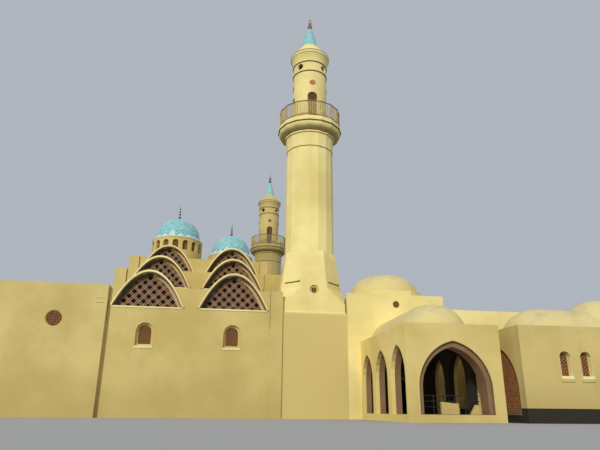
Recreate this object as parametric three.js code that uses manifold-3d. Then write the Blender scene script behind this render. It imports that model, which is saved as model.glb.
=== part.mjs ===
// A yellow stucco mosque with stepped lattice arches, tiled domes and two minarets, as a 1:10 scale model.
// Every length below is a length of the building in metres. metre turns it into millimetres of the model.
// Plan: x runs right along the hall's front wall, y runs back from it, z is up from the ground.
import * as THREE from 'three';
import { mergeVertices } from 'three/addons/utils/BufferGeometryUtils.js';
import Module from 'manifold-3d';

const wasm = await Module();
wasm.setup();

// Scale and joints between pieces
const metre = 100;
const gap = 0.003;
const roundSides = 20;

// Hall: two columns of bays, stepped in tiers towards a central row that carries the domes
const bay = 8.8;
const columns = [-7.2, 1.65];
const hallLeft = -11.1;
const hallRight = 5.6;
const sideBlock = 1.3;
const sideRight = 6.7;
const lowStepRight = 9.2;
const sideLead = 0.25;
const rows = 7;
const hallDepth = rows * bay;
const middle = hallDepth / 2;
const wallThick = 0.5;
const glassThick = 0.12;
const glassBehind = 0.85;
const parapet = 12.9;
const tierStep = 4.0;
const lowRoof = 12.2;
const slab = 0.35;
const floorTop = 0.6;

// Tympanum arches and the hoods over them
const tympanum = { half: 3.5, sill: 10.85, rise: 3.6, hood: 0.3 };
const hallWindow = { half: 0.88, sill: 6.84, top: 9.23 };

// Left wing
const wingEnd = -28.9;
const wingForward = 0.6;
const wingInner = wallThick - wingForward;
const wingTop = 12.85;
const roundWindow = { radius: 0.85, height: 9.27, first: -15.97, step: -8.8 };

// Dome row
const domeBlockTop = 23.05;
const [westX, middleX] = columns;
const westDome = { x: westX, base: domeBlockTop, drum: 3.9, radius: 4.1, rise: 4.05, finial: 3.2 };
const middleDome = { x: middleX, base: domeBlockTop, drum: 1.7, radius: 3.75, rise: 3.8, finial: 2.8 };
const eastDome = { x: 10.4, base: 17.9, drum: 0.7, radius: 2.7, rise: 2.8, finial: 2.9 };
const domeShoulder = { inset: 0.45, height: 0.45 };
const drumSides = 16;
const drumWindow = { half: 0.48, tall: 1.6, below: 0.45 };

// Minarets, on one line square to the front
const minaretX = 10.4;
const minaretIn = 3.7;
const tower = { left: 6.9, right: 14.0, depth: 7.4, ledge: 10.6, ledgeTop: 11.0, wall: 0.6 };
const plinth = { half: 3.45, top: 13.7, broach: 0.75, eye: 0.55, eyeHeight: 13.4 };
const flare = { foot: 14.25, top: 18.1 };
const shaft = { radius: 2.9, top: 31.4, wall: 0.5 };
const balcony = { rim: 34.6, radius: 4.05, kerb: 0.43, rail: 37.15, railThick: 0.12 };
const corbel = [[3.05, 33.2], [3.22, 33.2], [3.22, 33.4], [3.12, 33.45], [3.55, 33.55], [3.84, 33.85],
  [3.94, 34.3], [4.05, 34.35]];
const lantern = { radius: 2.18, wall: 0.3, band: 42.65, top: 44.05, cornice: 45.7, corniceRadius: 2.58 };
const lanternDoor = { half: 0.58, top: 39.4 };
const lanternEye = { radius: 0.45, height: 43.4 };
const spire = { roof: 47.6, radius: 1.0, cone: 50.9, tip: 53.6, fullness: 0.55 };

// Vestibules beside the minarets, each with an eight-sided top and a low dome
const vestibule = { x: 19.6, y: 4.4, half: 4.4, top: 13.65, room: 3.6 };
const vestibuleDome = { ledge: 4.3, base: 13.88, radius: 3.9, top: 16.25 };
const doorway = { half: 1.3, spring: 2.6, apex: 4.3 };
const eyeWindow = { radius: 0.4, height: 12.05 };
const frontRangeRight = 25.1;
const rangeTop = 13.15;
const setBack = 6.3;
const eastEnd = 46.1;

// Entrance porch
const porch = { left: 15.4, right: 23.7, front: -14.0, top: 7.85, wall: 0.4, sideWall: 0.9 };
const porchArch = { half: 3.16, spring: 2.6, apex: 6.45 };
const innerOrder = { half: 2.8, apex: 6.0, rim: 0.38, depth: 1.2 };
const porchArches = { first: -11.7, step: 4.7, half: 1.85, spring: 3.7, apex: 6.3 };
const porchVault = { half: 3.15, rise: 3.0, roundedAt: -9.6 };

// Right wing
const sideWing = { left: frontRangeRight + gap, right: eastEnd, front: -14.72, top: 7.85, wall: 0.5 };
const sideArch = { y: -10.7, half: 3.1, spring: 2.6, apex: 6.4 };
const wingMiddle = (frontRangeRight + eastEnd) / 2;
const wingWindows = { half: 0.5, sill: 3.5, top: 5.75, pair: 0.95, spacing: 5.6 };
const wingSill = { half: 0.6, height: 0.24, out: 0.08 };
const wingVault = { y: -10.65, half: 3.15, rise: 2.7, roundedAt: 6.2 };
const wingDome = { radius: 3.3, rise: 3.75 };
const deckBelowTop = 0.65;

// Colours
const paint = {
  stucco: new THREE.MeshStandardMaterial({ color: 0xdcc782, roughness: 0.9, metalness: 0 }),
  cream: new THREE.MeshStandardMaterial({ color: 0xe8dcae, roughness: 0.85, metalness: 0 }),
  tile: new THREE.MeshStandardMaterial({ color: 0x5fbcc4, roughness: 0.35, metalness: 0 }),
  glass: new THREE.MeshStandardMaterial({ color: 0x2a211d, roughness: 0.3, metalness: 0 }),
  concrete: new THREE.MeshStandardMaterial({ color: 0xa49f92, roughness: 0.95, metalness: 0 }),
};

const building = new THREE.Group();

// Booleans
function solid(geometry) {
  const bare = geometry.clone();
  bare.deleteAttribute('normal');
  bare.deleteAttribute('uv');
  const merged = mergeVertices(bare, 1e-5);
  return new wasm.Manifold(new wasm.Mesh({
    numProp: 3,
    vertProperties: new Float32Array(merged.attributes.position.array),
    triVerts: new Uint32Array(merged.index.array),
  }));
}

function join(...bodies) {
  return bodies.reduce((all, body) => all.add(body));
}

function geometryOf(body) {
  const mesh = body.getMesh();
  const geometry = new THREE.BufferGeometry();
  geometry.setAttribute('position', new THREE.BufferAttribute(mesh.vertProperties, 3));
  geometry.setIndex(new THREE.BufferAttribute(mesh.triVerts, 1));
  return geometry;
}

function addMesh(name, geometry, material) {
  geometry.scale(metre, metre, metre);
  geometry.computeVertexNormals();
  const piece = new THREE.Mesh(geometry, material);
  piece.name = name;
  building.add(piece);
}

function addPiece(name, body, material) {
  addMesh(name, geometryOf(body), material);
}

// A piece at the front and its mirror image behind the hall's middle line
function addPair(name, body, material) {
  addMesh(`front_${name}`, geometryOf(body), material);
  const mirrored = geometryOf(body);
  mirrored.scale(1, -1, 1);
  mirrored.translate(0, hallDepth, 0);
  const index = mirrored.index.array;
  for (let i = 0; i < index.length; i += 3) {
    [index[i], index[i + 1]] = [index[i + 1], index[i]];
  }
  addMesh(`back_${name}`, mirrored, material);
}

// Basic shapes
function box(x0, x1, y0, y1, z0, z1) {
  const geometry = new THREE.BoxGeometry(x1 - x0, y1 - y0, z1 - z0);
  geometry.translate((x0 + x1) / 2, (y0 + y1) / 2, (z0 + z1) / 2);
  return solid(geometry);
}

// An upright outline (across, height) carried along y
function upright(points, y0, y1) {
  const options = { depth: y1 - y0, bevelEnabled: false };
  const geometry = new THREE.ExtrudeGeometry(new THREE.Shape(points), options);
  geometry.rotateX(Math.PI / 2);
  geometry.translate(0, y1, 0);
  return geometry;
}

function alongY(points, x, y0, y1) {
  return solid(upright(points, y0, y1).translate(x, 0, 0));
}

// The same outline carried along x
function alongX(points, y, x0, x1) {
  return solid(upright(points, -x1, -x0).rotateZ(Math.PI / 2).translate(0, y, 0));
}

// The same outline carried outwards from an upright axis at (x, y), turned by an angle
function outwards(points, x, y, r0, r1, angle) {
  return solid(upright(points, r0, r1).rotateZ(angle).translate(x, y, 0));
}

// A profile of (radius, height) points turned about an upright axis. offset turns the flat sides
function turned(profile, x, y, sides, offset = 0) {
  const points = profile.map(([radius, height]) => new THREE.Vector2(radius, height));
  const geometry = new THREE.LatheGeometry(points, sides);
  geometry.rotateX(Math.PI / 2);
  geometry.rotateZ(offset);
  geometry.translate(x, y, 0);
  return solid(geometry);
}

function column(radius, z0, z1, x, y, sides = roundSides, offset = 0) {
  return turned([[0, z0], [radius, z0], [radius, z1], [0, z1]], x, y, sides, offset);
}

// Distance from the middle to a corner of a shape with so many flat sides
function cornerOf(apothem, sides) {
  return apothem / Math.cos(Math.PI / sides);
}

// The low curve of a tympanum, a little fuller than a parabola
function tympanumOutline(half, foot, rise, steps = 10) {
  const points = [];
  for (let i = 0; i <= steps; i++) {
    const across = half * Math.cos(Math.PI * i / steps);
    const height = foot + rise * (1 - Math.pow(Math.abs(across) / half, 2.1));
    points.push(new THREE.Vector2(across, height));
  }
  return points;
}

// A pointed arch of two circle arcs on straight jambs
function pointedOutline(half, sill, spring, apex, steps = 5) {
  const rise = apex - spring;
  const centre = (rise * rise - half * half) / (2 * half);
  const radius = half + centre;
  const full = Math.atan2(rise, centre);
  const right = [];
  for (let i = 0; i <= steps; i++) {
    const angle = full * i / steps;
    right.push(new THREE.Vector2(radius * Math.cos(angle) - centre, spring + radius * Math.sin(angle)));
  }
  const left = right.slice(0, -1).reverse().map((point) => new THREE.Vector2(-point.x, point.y));
  return [new THREE.Vector2(-half, sill), new THREE.Vector2(half, sill), ...right, ...left];
}

// A round-headed opening
function roundHeadOutline(half, sill, top, steps = 5) {
  const points = [new THREE.Vector2(-half, sill), new THREE.Vector2(half, sill)];
  for (let i = 0; i <= steps; i++) {
    const angle = Math.PI * i / steps;
    points.push(new THREE.Vector2(half * Math.cos(angle), top - half + half * Math.sin(angle)));
  }
  return points;
}

function circleOutline(radius, height, steps = 12) {
  const points = [];
  for (let i = 0; i < steps; i++) {
    const angle = 2 * Math.PI * i / steps;
    points.push(new THREE.Vector2(radius * Math.cos(angle), height + radius * Math.sin(angle)));
  }
  return points;
}

// A tier of the hall: a wall with two tympana, hoods over them and vaults that run back to the next tier
function tierPieces(tier) {
  const front = tier * bay;
  const back = front + bay - gap;
  const lift = tier * tierStep;
  const top = parapet + lift;
  const deck = top - 0.95;
  const left = tier === 0 ? hallLeft : hallLeft + gap;
  const right = tier === 0 ? hallRight : hallRight - gap;
  const bottom = tier === 0 ? 0 : deck - tierStep;
  let body = join(
    box(left, right, front, front + wallThick, bottom, top),
    box(left, right, front, back, deck, deck + slab),
  );
  if (tier === 0) {
    body = body.add(box(hallRight, tower.left - gap, -0.25, wallThick, 0, parapet));
  }
  for (const x of columns) {
    const { half, sill, rise, hood } = tympanum;
    body = body.add(alongY(tympanumOutline(half + hood, sill + lift, rise + hood), x, front - 0.12, back));
  }
  for (const x of columns) {
    const { half, sill, rise } = tympanum;
    body = body.subtract(alongY(tympanumOutline(half, sill + lift, rise), x, front - 1, back + 1));
    if (tier > 0) {
      const below = tympanumOutline(half, sill + lift - tierStep, rise);
      body = body.subtract(alongY(below, x, front - 1, back + 1));
    } else {
      const outline = roundHeadOutline(hallWindow.half, hallWindow.sill, hallWindow.top);
      body = body.subtract(alongY(outline, x, front - 1, front + 1));
    }
  }
  return body;
}

const tierNames = ['first', 'second', 'third'];
tierNames.forEach((name, tier) => addPair(`${name}_tier`, tierPieces(tier), paint.stucco));

// Glass of a tier, set into its vaults well behind the wall's face: two arched panes on one rail
function tierGlass(tier) {
  const lift = tier * tierStep;
  const y = tier * bay + glassBehind;
  const { half, sill, rise } = tympanum;
  const lower = 0.1;
  const panes = columns.map((x) => (
    alongY(tympanumOutline(half - gap, sill + lift - lower, rise + lower - gap), x, y, y + glassThick)
  ));
  const rail = box(columns[0] - half + 0.1, columns[1] + half - 0.1, y, y + glassThick,
    sill + lift - 0.45, sill + lift - gap);
  return join(...panes, rail);
}

tierNames.forEach((name, tier) => addPair(`${name}_glass`, tierGlass(tier), paint.glass));

// Stepped side walls of the hall, standing on the low roof
function sideWall(x0, x1) {
  const heights = [parapet + tierStep, parapet + 2 * tierStep, domeBlockTop];
  const outline = [new THREE.Vector2(bay - sideLead, lowRoof + gap)];
  heights.forEach((top, i) => {
    outline.push(new THREE.Vector2((i + 1) * bay - sideLead, top));
    outline.push(new THREE.Vector2((i + 2) * bay - sideLead, top));
  });
  const rear = outline.slice(0, -1).reverse();
  const mirrored = rear.map((point) => new THREE.Vector2(hallDepth - point.x, point.y));
  outline.pop();
  return alongX([...outline, ...mirrored], 0, x0, x1);
}

// Right side wall: its lowest step reaches further out, before and behind the dome block, and is hollow below
function rightSideWall() {
  const x0 = hallRight + gap;
  const near = bay - sideLead;
  const far = tierNames.length * bay - sideLead;
  const top = parapet + tierStep;
  let body = sideWall(x0, sideRight);
  for (const [y0, y1] of [[near, far], [hallDepth - far, hallDepth - near]]) {
    body = body.add(box(x0, lowStepRight, y0, y1, lowRoof + gap, top));
    body = body.subtract(box(sideRight, lowStepRight - wallThick, y0 + wallThick, y1 - wallThick,
      0, top - slab));
  }
  return body;
}

addPiece('hall_left_side_wall', sideWall(hallLeft - sideBlock, hallLeft - gap), paint.stucco);
addPiece('hall_right_side_wall', rightSideWall(), paint.stucco);

// Block across the middle of the hall under the two domes, open below
function domeBlock() {
  const front = tierNames.length * bay;
  const back = hallDepth - front;
  const bottom = parapet + (tierNames.length - 1) * tierStep - 0.95;
  const inner = [hallLeft + wallThick, hallRight - wallThick, front + wallThick, back - wallThick];
  let body = box(hallLeft + gap, hallRight - gap, front, back, bottom, domeBlockTop);
  body = body.subtract(box(...inner, bottom - 1, domeBlockTop - slab));
  for (const x of columns) {
    const lift = (tierNames.length - 1) * tierStep;
    const below = tympanumOutline(tympanum.half, tympanum.sill + lift, tympanum.rise);
    body = body.subtract(alongY(below, x, front - 1, back + 1));
  }
  for (const dome of [westDome, middleDome]) {
    body = body.subtract(column(dome.radius - 0.4, bottom, dome.base + 1, dome.x, middle));
  }
  return body;
}

addPiece('dome_block', domeBlock(), paint.stucco);

// Round drum on an eight-sided ring, pierced by small round-headed windows
function drum(dome) {
  const { x, base, radius } = dome;
  const ring = 0.55;
  const top = base + dome.drum;
  const turn0 = Math.PI / drumSides;
  let body = column(cornerOf(radius + 0.12, 8), base + gap, base + ring, x, middle, 8, Math.PI / 8);
  body = body.add(column(radius, base + gap, top, x, middle, drumSides, turn0));
  body = body.subtract(column(radius - 0.35, base - 1, top + 1, x, middle, drumSides, turn0));
  if (dome === westDome) {
    const { half, tall, below } = drumWindow;
    const outline = roundHeadOutline(half, top - below - tall, top - below, 4);
    for (let i = 0; i < drumSides; i++) {
      const turn = 2 * turn0 * i;
      body = body.subtract(outwards(outline, x, middle, radius - 0.8, radius + 0.8, turn));
    }
  }
  return body;
}

// Slightly pointed shell. Outside and inside are two circle-like curves that meet the axis
function domeProfile(radius, base, rise, steps = 6) {
  const points = [];
  for (let i = 0; i <= steps; i++) {
    const angle = Math.PI / 2 * i / steps;
    const width = radius * Math.pow(Math.cos(angle), 0.92);
    points.push([i === steps ? 0 : width, base + rise * Math.pow(Math.sin(angle), 0.96)]);
  }
  return points;
}

function finialProfile(foot, height) {
  const knobs = [[0.34, 0.0], [0.12, 0.08], [0.26, 0.22], [0.08, 0.34], [0.2, 0.46], [0.06, 0.56],
    [0.12, 0.64], [0.05, 0.72], [0.05, 0.9]];
  return [...knobs.map(([radius, part]) => [radius, foot + part * height]), [0, foot + height]];
}

function shellDome(x, y, base, radius, rise, thick) {
  const outer = turned([[0, base], ...domeProfile(radius, base, rise, 5)], x, y, roundSides);
  const inner = turned([[0, base - 0.5], [radius - thick, base - 0.5],
    ...domeProfile(radius - thick, base, rise - thick, 3)], x, y, roundSides);
  return outer.subtract(inner);
}

// Tiled dome that springs from a sloping shoulder on its drum and carries a finial
function tiledDome(dome) {
  const { inset, height } = domeShoulder;
  const base = dome.base + dome.drum + gap;
  const foot = dome.radius - 0.1;
  const radius = foot - inset;
  const rise = dome.rise - height;
  const thick = 0.25;
  const top = base + dome.rise;
  const outer = [[0, base], [foot, base], ...domeProfile(radius, base + height, rise)];
  const inner = [[0, base - 0.5], [radius - thick, base - 0.5],
    ...domeProfile(radius - thick, base + height, rise - thick, 3)];
  const finial = [[0, top - 0.2], [0.34, top - 0.2], ...finialProfile(top, dome.finial)];
  const shell = turned(outer, dome.x, middle, roundSides).subtract(turned(inner, dome.x, middle, roundSides));
  return shell.add(turned(finial, dome.x, middle, 8));
}

for (const [name, dome] of [['west', westDome], ['middle', middleDome], ['east', eastDome]]) {
  addPiece(`${name}_drum`, drum(dome), paint.stucco);
  addPiece(`${name}_dome`, tiledDome(dome), paint.tile);
}

// Block that carries the small east dome, standing on the low roof
function eastBlock() {
  const half = eastDome.radius + 0.4;
  const outer = box(sideRight + gap, eastDome.x + half, middle - half, middle + half,
    lowRoof + gap, eastDome.base);
  return outer.subtract(column(half - 0.9, lowRoof - 1, eastDome.base + 1, eastDome.x, middle));
}

addPiece('east_dome_block', eastBlock(), paint.stucco);

// Left wing, a step in front of the hall, with a return that meets the hall's corner
const wingReturn = box(hallLeft - wallThick, hallLeft - gap, -wingForward, wallThick, 0, wingTop);

function leftWingFront() {
  let body = box(wingEnd, hallLeft - gap, -wingForward, wingInner, 0, wingTop).add(wingReturn);
  for (let i = 0; i < 2; i++) {
    const x = roundWindow.first + i * roundWindow.step;
    body = body.subtract(alongY(circleOutline(roundWindow.radius, roundWindow.height), x, -2, 1));
  }
  return body;
}

addPair('left_wing_wall', leftWingFront(), paint.stucco);

function windowedWall(x0, y0, y1, count) {
  let body = box(x0, x0 + wallThick, y0, y1, 0, parapet);
  const outline = roundHeadOutline(hallWindow.half, hallWindow.sill, hallWindow.top);
  for (let i = 0; i < count; i++) {
    const y = y0 + (i + 0.5) * (y1 - y0) / count;
    body = body.subtract(alongX(outline, y, x0 - 1, x0 + 2));
  }
  return body;
}

const westWall = windowedWall(wingEnd, wingInner + gap, hallDepth - wingInner - gap, rows);
addPiece('west_wall', westWall, paint.stucco);
const eastFront = setBack + wallThick + gap;
const eastWall = windowedWall(eastEnd - wallThick, eastFront, hallDepth - eastFront, rows - 2);
addPiece('east_wall', eastWall, paint.stucco);

// Front range right of the minaret, with its doorway, and the wall that is set back behind the side wing
function rangeWall() {
  let body = join(
    box(tower.right + gap, frontRangeRight, 0, wallThick, 0, rangeTop),
    box(frontRangeRight - wallThick, frontRangeRight, 0, setBack + wallThick, 0, rangeTop),
    box(frontRangeRight - wallThick, eastEnd, setBack, setBack + wallThick, 0, parapet),
  );
  body = body.subtract(alongY(pointedOutline(doorway.half, floorTop, doorway.spring, doorway.apex),
    vestibule.x, -1, 2));
  return body.subtract(alongY(circleOutline(eyeWindow.radius, eyeWindow.height, 12), vestibule.x, -1, 2));
}

addPair('range_wall', rangeWall(), paint.stucco);

// Eight-sided top of a vestibule, a round ledge and a low dome, standing on the low roof and the range's wall
function vestibuleTop() {
  const { x, y, half, top, room } = vestibule;
  const { ledge, base, radius, top: crown } = vestibuleDome;
  const thick = 0.3;
  const foot = lowRoof + gap;
  const shell = domeProfile(radius, base, crown - base, 5);
  const hollow = domeProfile(room - thick, base, crown - base - thick, 3);
  let body = column(cornerOf(half, 8), foot, top, x, y, 8, Math.PI / 8);
  body = body.add(turned([[0, top - 0.1], [ledge, top - 0.1], [ledge, base], ...shell], x, y, roundSides));
  body = body.subtract(turned([[0, foot - 0.5], [room - thick, foot - 0.5], ...hollow], x, y, roundSides));
  return body.subtract(box(x - half, x + half, -1, wallThick + gap, 0, rangeTop + gap));
}

addPair('vestibule_dome', vestibuleTop(), paint.cream);

// Low flat roofs and the floor
// Everything inside the outer walls, between two heights
function insidePlan(z0, z1) {
  const inset = wallThick + gap;
  const body = join(
    box(wingEnd + inset, hallLeft - gap, wingInner + gap, hallDepth - wingInner - gap, z0, z1),
    box(hallLeft - wallThick, eastEnd - inset, inset, hallDepth - inset, z0, z1),
  );
  const corners = [
    [hallLeft - wallThick - gap, hallLeft, -1, wallThick + gap],
    [tower.left - gap, tower.right + gap, -1, tower.depth + gap],
    [frontRangeRight - wallThick - gap, eastEnd, -1, setBack + wallThick + gap],
  ];
  return corners.reduce((rest, [x0, x1, y0, y1]) => (
    rest.subtract(box(x0, x1, y0, y1, z0 - 1, z1 + 1))
      .subtract(box(x0, x1, hallDepth - y1, hallDepth - y0, z0 - 1, z1 + 1))
  ), body);
}

function lowRoofs() {
  let body = insidePlan(lowRoof - slab, lowRoof);
  for (const y of [vestibule.y, hallDepth - vestibule.y]) {
    body = body.subtract(column(vestibule.room, 0, parapet, vestibule.x, y));
  }
  const west = box(wingEnd, hallLeft - gap, -1, hallDepth + 1, 0, parapet);
  const east = box(hallRight + gap, eastEnd, -1, hallDepth + 1, 0, parapet);
  return [body.intersect(west), body.intersect(east)];
}

const [westRoof, eastRoof] = lowRoofs();
addPiece('west_roof', westRoof, paint.concrete);
addPiece('east_roof', eastRoof, paint.concrete);
addPiece('ground_floor', insidePlan(0, floorTop), paint.concrete);

// Minarets
function minaretColumn(apothem, z0, z1, sides) {
  return column(cornerOf(apothem, sides), z0, z1, minaretX, minaretIn, sides, Math.PI / sides);
}

function minaretTurned(profile, sides) {
  return turned(profile, minaretX, minaretIn, sides, Math.PI / sides);
}

// Square tower with a sloping ledge, a plinth whose corners are cut back to eight sides, and an eye window
function minaretBase() {
  const { left, right, depth, ledge, ledgeTop, wall } = tower;
  const { half, top, broach, eye, eyeHeight } = plinth;
  const foot = half + (top - ledge) * broach;
  const slopes = minaretTurned([[0, ledge], [cornerOf(foot, 8), ledge], [cornerOf(half, 8), top],
    [0, top]], 8);
  let body = box(left, right, 0, depth, 0, ledge).add(ledgeSlope(left, right, depth, ledge, ledgeTop, half));
  body = body.add(box(minaretX - half, minaretX + half, minaretIn - half, minaretIn + half, ledge, top)
    .intersect(slopes));
  body = body.add(minaretColumn(half, top - 0.01, flare.foot, 8));
  body = body.subtract(box(left + wall, right - wall, wall, depth - wall, -1, ledge - wall));
  body = body.subtract(minaretColumn(half - wall, ledge - wall - 0.1, flare.foot + 1, 8));
  return body.subtract(alongY(circleOutline(eye, eyeHeight, 10), minaretX, -1, minaretIn));
}

// Four-sided slope between the lower tower and its plinth
function ledgeSlope(left, right, depth, ledge, ledgeTop, half) {
  const inner = [minaretX - half, minaretX + half, minaretIn - half, minaretIn + half];
  const bottom = [[left, 0], [right, 0], [right, depth], [left, depth]];
  const top = [[inner[0], inner[2]], [inner[1], inner[2]], [inner[1], inner[3]], [inner[0], inner[3]]];
  const positions = [];
  for (const [x, y] of bottom) positions.push(x, y, ledge - 0.01);
  for (const [x, y] of top) positions.push(x, y, ledgeTop);
  const index = [0, 2, 1, 0, 3, 2, 4, 5, 6, 4, 6, 7];
  for (let i = 0; i < 4; i++) {
    const next = (i + 1) % 4;
    index.push(i, next, next + 4, i, next + 4, i + 4);
  }
  const geometry = new THREE.BufferGeometry();
  geometry.setAttribute('position', new THREE.BufferAttribute(new Float32Array(positions), 3));
  geometry.setIndex(index);
  return solid(geometry);
}

// Flared foot of eight sides under a shaft of sixteen
function minaretShaft() {
  const z0 = flare.foot + gap;
  const foot = cornerOf(plinth.half - 0.12, 8);
  const top = shaft.radius * 1.06;
  const { radius, wall } = shaft;
  let body = minaretTurned([[0, z0], [foot, z0], [foot, z0 + 0.2], [top, flare.top], [0, flare.top]], 8);
  body = body.add(minaretTurned([[0, flare.top - 0.1], [radius, flare.top - 0.1], [radius, shaft.top],
    [0, shaft.top]], 16));
  return body.subtract(minaretColumn(radius - wall, z0 - 1, shaft.top + 1, 16));
}

// Corbelled balcony with a railing of sixteen panels. Its deck carries the lantern
function minaretBalcony() {
  const { rim, radius, kerb, rail, railThick } = balcony;
  const z0 = shaft.top + gap;
  const post = 0.14;
  const railRadius = radius - 0.15;
  let body = minaretTurned([[0, z0], [shaft.radius, z0], ...corbel, [radius, rim], [0, rim]], 16);
  body = body.subtract(minaretColumn(shaft.radius - shaft.wall, z0 - 1, rim - slab, 16));
  body = body.subtract(minaretColumn(lantern.radius - 2 * lantern.wall, z0, rim + 1, 16));
  const railInner = railRadius - railThick;
  body = body.add(minaretTurned([[railInner, rim - 0.1], [railRadius, rim - 0.1], [railRadius, rail],
    [railInner, rail], [railInner, rim - 0.1]], 16));
  const side = railRadius * Math.sin(Math.PI / 16) - post;
  const panel = [[-side, rim + kerb], [side, rim + kerb], [side, rail - 0.25], [-side, rail - 0.25]]
    .map(([across, height]) => new THREE.Vector2(across, height));
  for (let i = 0; i < 16; i++) {
    const cut = outwards(panel, minaretX, minaretIn, lantern.radius + 0.5, radius + 1, i * Math.PI / 8);
    body = body.subtract(cut);
  }
  return body;
}

// Round lantern above the balcony, with doors on four sides and eyes under a cornice
function minaretLantern() {
  const z0 = balcony.rim + gap;
  const { radius, wall, band, top, cornice, corniceRadius } = lantern;
  const inner = radius - wall;
  let body = minaretTurned([[0, z0], [radius, z0], [radius, band], [radius + 0.12, band + 0.05],
    [radius, band + 0.15], [radius, top], [corniceRadius, cornice - 0.25], [corniceRadius, cornice],
    [spire.radius, spire.roof], [0, spire.roof]], roundSides);
  const hollow = [[0, z0 - 1], [inner, z0 - 1], [inner, top], [0, top + 1.6]];
  body = body.subtract(minaretTurned(hollow, roundSides));
  const door = roundHeadOutline(lanternDoor.half, z0 + 0.35, lanternDoor.top, 4);
  for (let i = 0; i < 4; i++) {
    body = body.subtract(outwards(door, minaretX, minaretIn, inner - 0.5, radius + 1, i * Math.PI / 2));
  }
  const eye = circleOutline(lanternEye.radius, lanternEye.height, 8);
  for (let i = 0; i < 4; i++) {
    const turn = (i + 0.5) * Math.PI / 2;
    body = body.subtract(outwards(eye, minaretX, minaretIn, inner - 0.5, radius + 1, turn));
  }
  return body;
}

// Full, blunt cone with a finial. Its radius falls as a power of what is left of its height
function minaretSpire() {
  const { roof, radius, cone, tip, fullness } = spire;
  const cap = [0, 0.3, 0.6, 0.85, 0.97].map((part) => (
    [radius * Math.pow(1 - part, fullness), roof + gap + part * (cone - roof)]
  ));
  return minaretTurned([[0, roof + gap], ...cap, ...finialProfile(cone, tip - cone).slice(1)], 12);
}

addPair('minaret_base', minaretBase(), paint.stucco);
addPair('minaret_shaft', minaretShaft(), paint.stucco);
addPair('minaret_balcony', minaretBalcony(), paint.stucco);
addPair('minaret_lantern', minaretLantern(), paint.stucco);
addPair('minaret_spire', minaretSpire(), paint.tile);

// Entrance porch
const porchInner = porch.front + porch.wall;
const porchX = (porch.left + porch.right) / 2;

// Front wall with a big pointed arch, and a deep inner order of the arch behind it
function porchFront() {
  const { left, right, front, top } = porch;
  const { half, spring, apex } = porchArch;
  const { rim, depth } = innerOrder;
  const arch = pointedOutline(half, floorTop, spring, apex, 8);
  const outer = pointedOutline(innerOrder.half + rim, floorTop + gap, spring, innerOrder.apex + rim + 0.1, 8);
  const inner = pointedOutline(innerOrder.half, floorTop, spring, innerOrder.apex, 8);
  const slabWall = box(left, right, front, porchInner, 0, top);
  const wall = slabWall.subtract(alongY(arch, porchX, front - 1, porchInner + 1));
  const order = alongY(outer, porchX, porchInner - 0.1, porchInner + depth);
  return wall.add(order).subtract(alongY(inner, porchX, front - 1, porchInner + depth + 1));
}

function porchSide(x0) {
  const { first, step, half, spring, apex } = porchArches;
  let body = box(x0, x0 + porch.sideWall, porchInner + gap, -gap, 0, porch.top);
  for (let i = 0; i < 3; i++) {
    const arch = pointedOutline(half, floorTop, spring, apex);
    body = body.subtract(alongX(arch, first + i * step, x0 - 1, x0 + 2));
  }
  return body;
}

// Slab between four walls, opened under vaults and domes
function areaBox(area, z0, z1) {
  return box(area.x0, area.x1, area.y0, area.y1, z0, z1);
}

function openedSlab(area, deck, holes) {
  return holes.reduce((body, hole) => body.subtract(hole), areaBox(area, deck - slab, deck));
}

// Solid under a barrel vault that runs along y on x = 0 and is rounded off by half domes at some ends
function vaultSolid(half, foot, base, rise, y0, y1, roundedAt, steps) {
  const curve = domeProfile(half, base, rise, steps);
  const left = curve.slice(0, -1).reverse().map(([across, height]) => [-across, height]);
  const low = foot < base;
  const outline = [...(low ? [[half, foot]] : []), ...curve, ...left, ...(low ? [[-half, foot]] : [])];
  const points = outline.map(([across, height]) => new THREE.Vector2(across, height));
  const profile = [[0, foot], ...(low ? [[half, foot]] : []), ...curve];
  return join(alongY(points, 0, y0, y1), ...roundedAt.map((y) => turned(profile, 0, y, roundSides)));
}

function vaultShell({ half, rise }, base, y0, y1, roundedAt) {
  const thick = 0.25;
  const outer = vaultSolid(half, base, base, rise, y0, y1, roundedAt, 5);
  const openEnd = (y) => (roundedAt.includes(y) ? 0 : 1);
  return outer.subtract(vaultSolid(half - thick, base - 0.5, base, rise - thick,
    y0 - openEnd(y0), y1 + openEnd(y1), roundedAt, 3));
}

const porchArea = {
  x0: porch.left + porch.sideWall + gap,
  x1: porch.right - porch.sideWall - gap,
  y0: porchInner + gap,
  y1: -gap,
};
const porchDeck = porch.top - deckBelowTop;
const porchHole = porchVault.half - 0.3;
addPiece('porch_front_wall', porchFront(), paint.stucco);
addPiece('porch_left_wall', porchSide(porch.left), paint.stucco);
addPiece('porch_right_wall', porchSide(porch.right - porch.sideWall), paint.stucco);
addPiece('porch_roof', openedSlab(porchArea, porchDeck, [
  column(porchHole, 0, porch.top, porchX, porchVault.roundedAt),
  box(porchX - porchHole, porchX + porchHole, porchVault.roundedAt, -0.4, 0, porch.top),
]), paint.concrete);
const { roundedAt } = porchVault;
const porchShell = vaultShell(porchVault, porchDeck + gap, roundedAt, -gap, [roundedAt]);
addMesh('porch_vault', geometryOf(porchShell).translate(porchX, 0, 0), paint.cream);
addPiece('porch_floor', areaBox(porchArea, 0, floorTop), paint.concrete);

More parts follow.
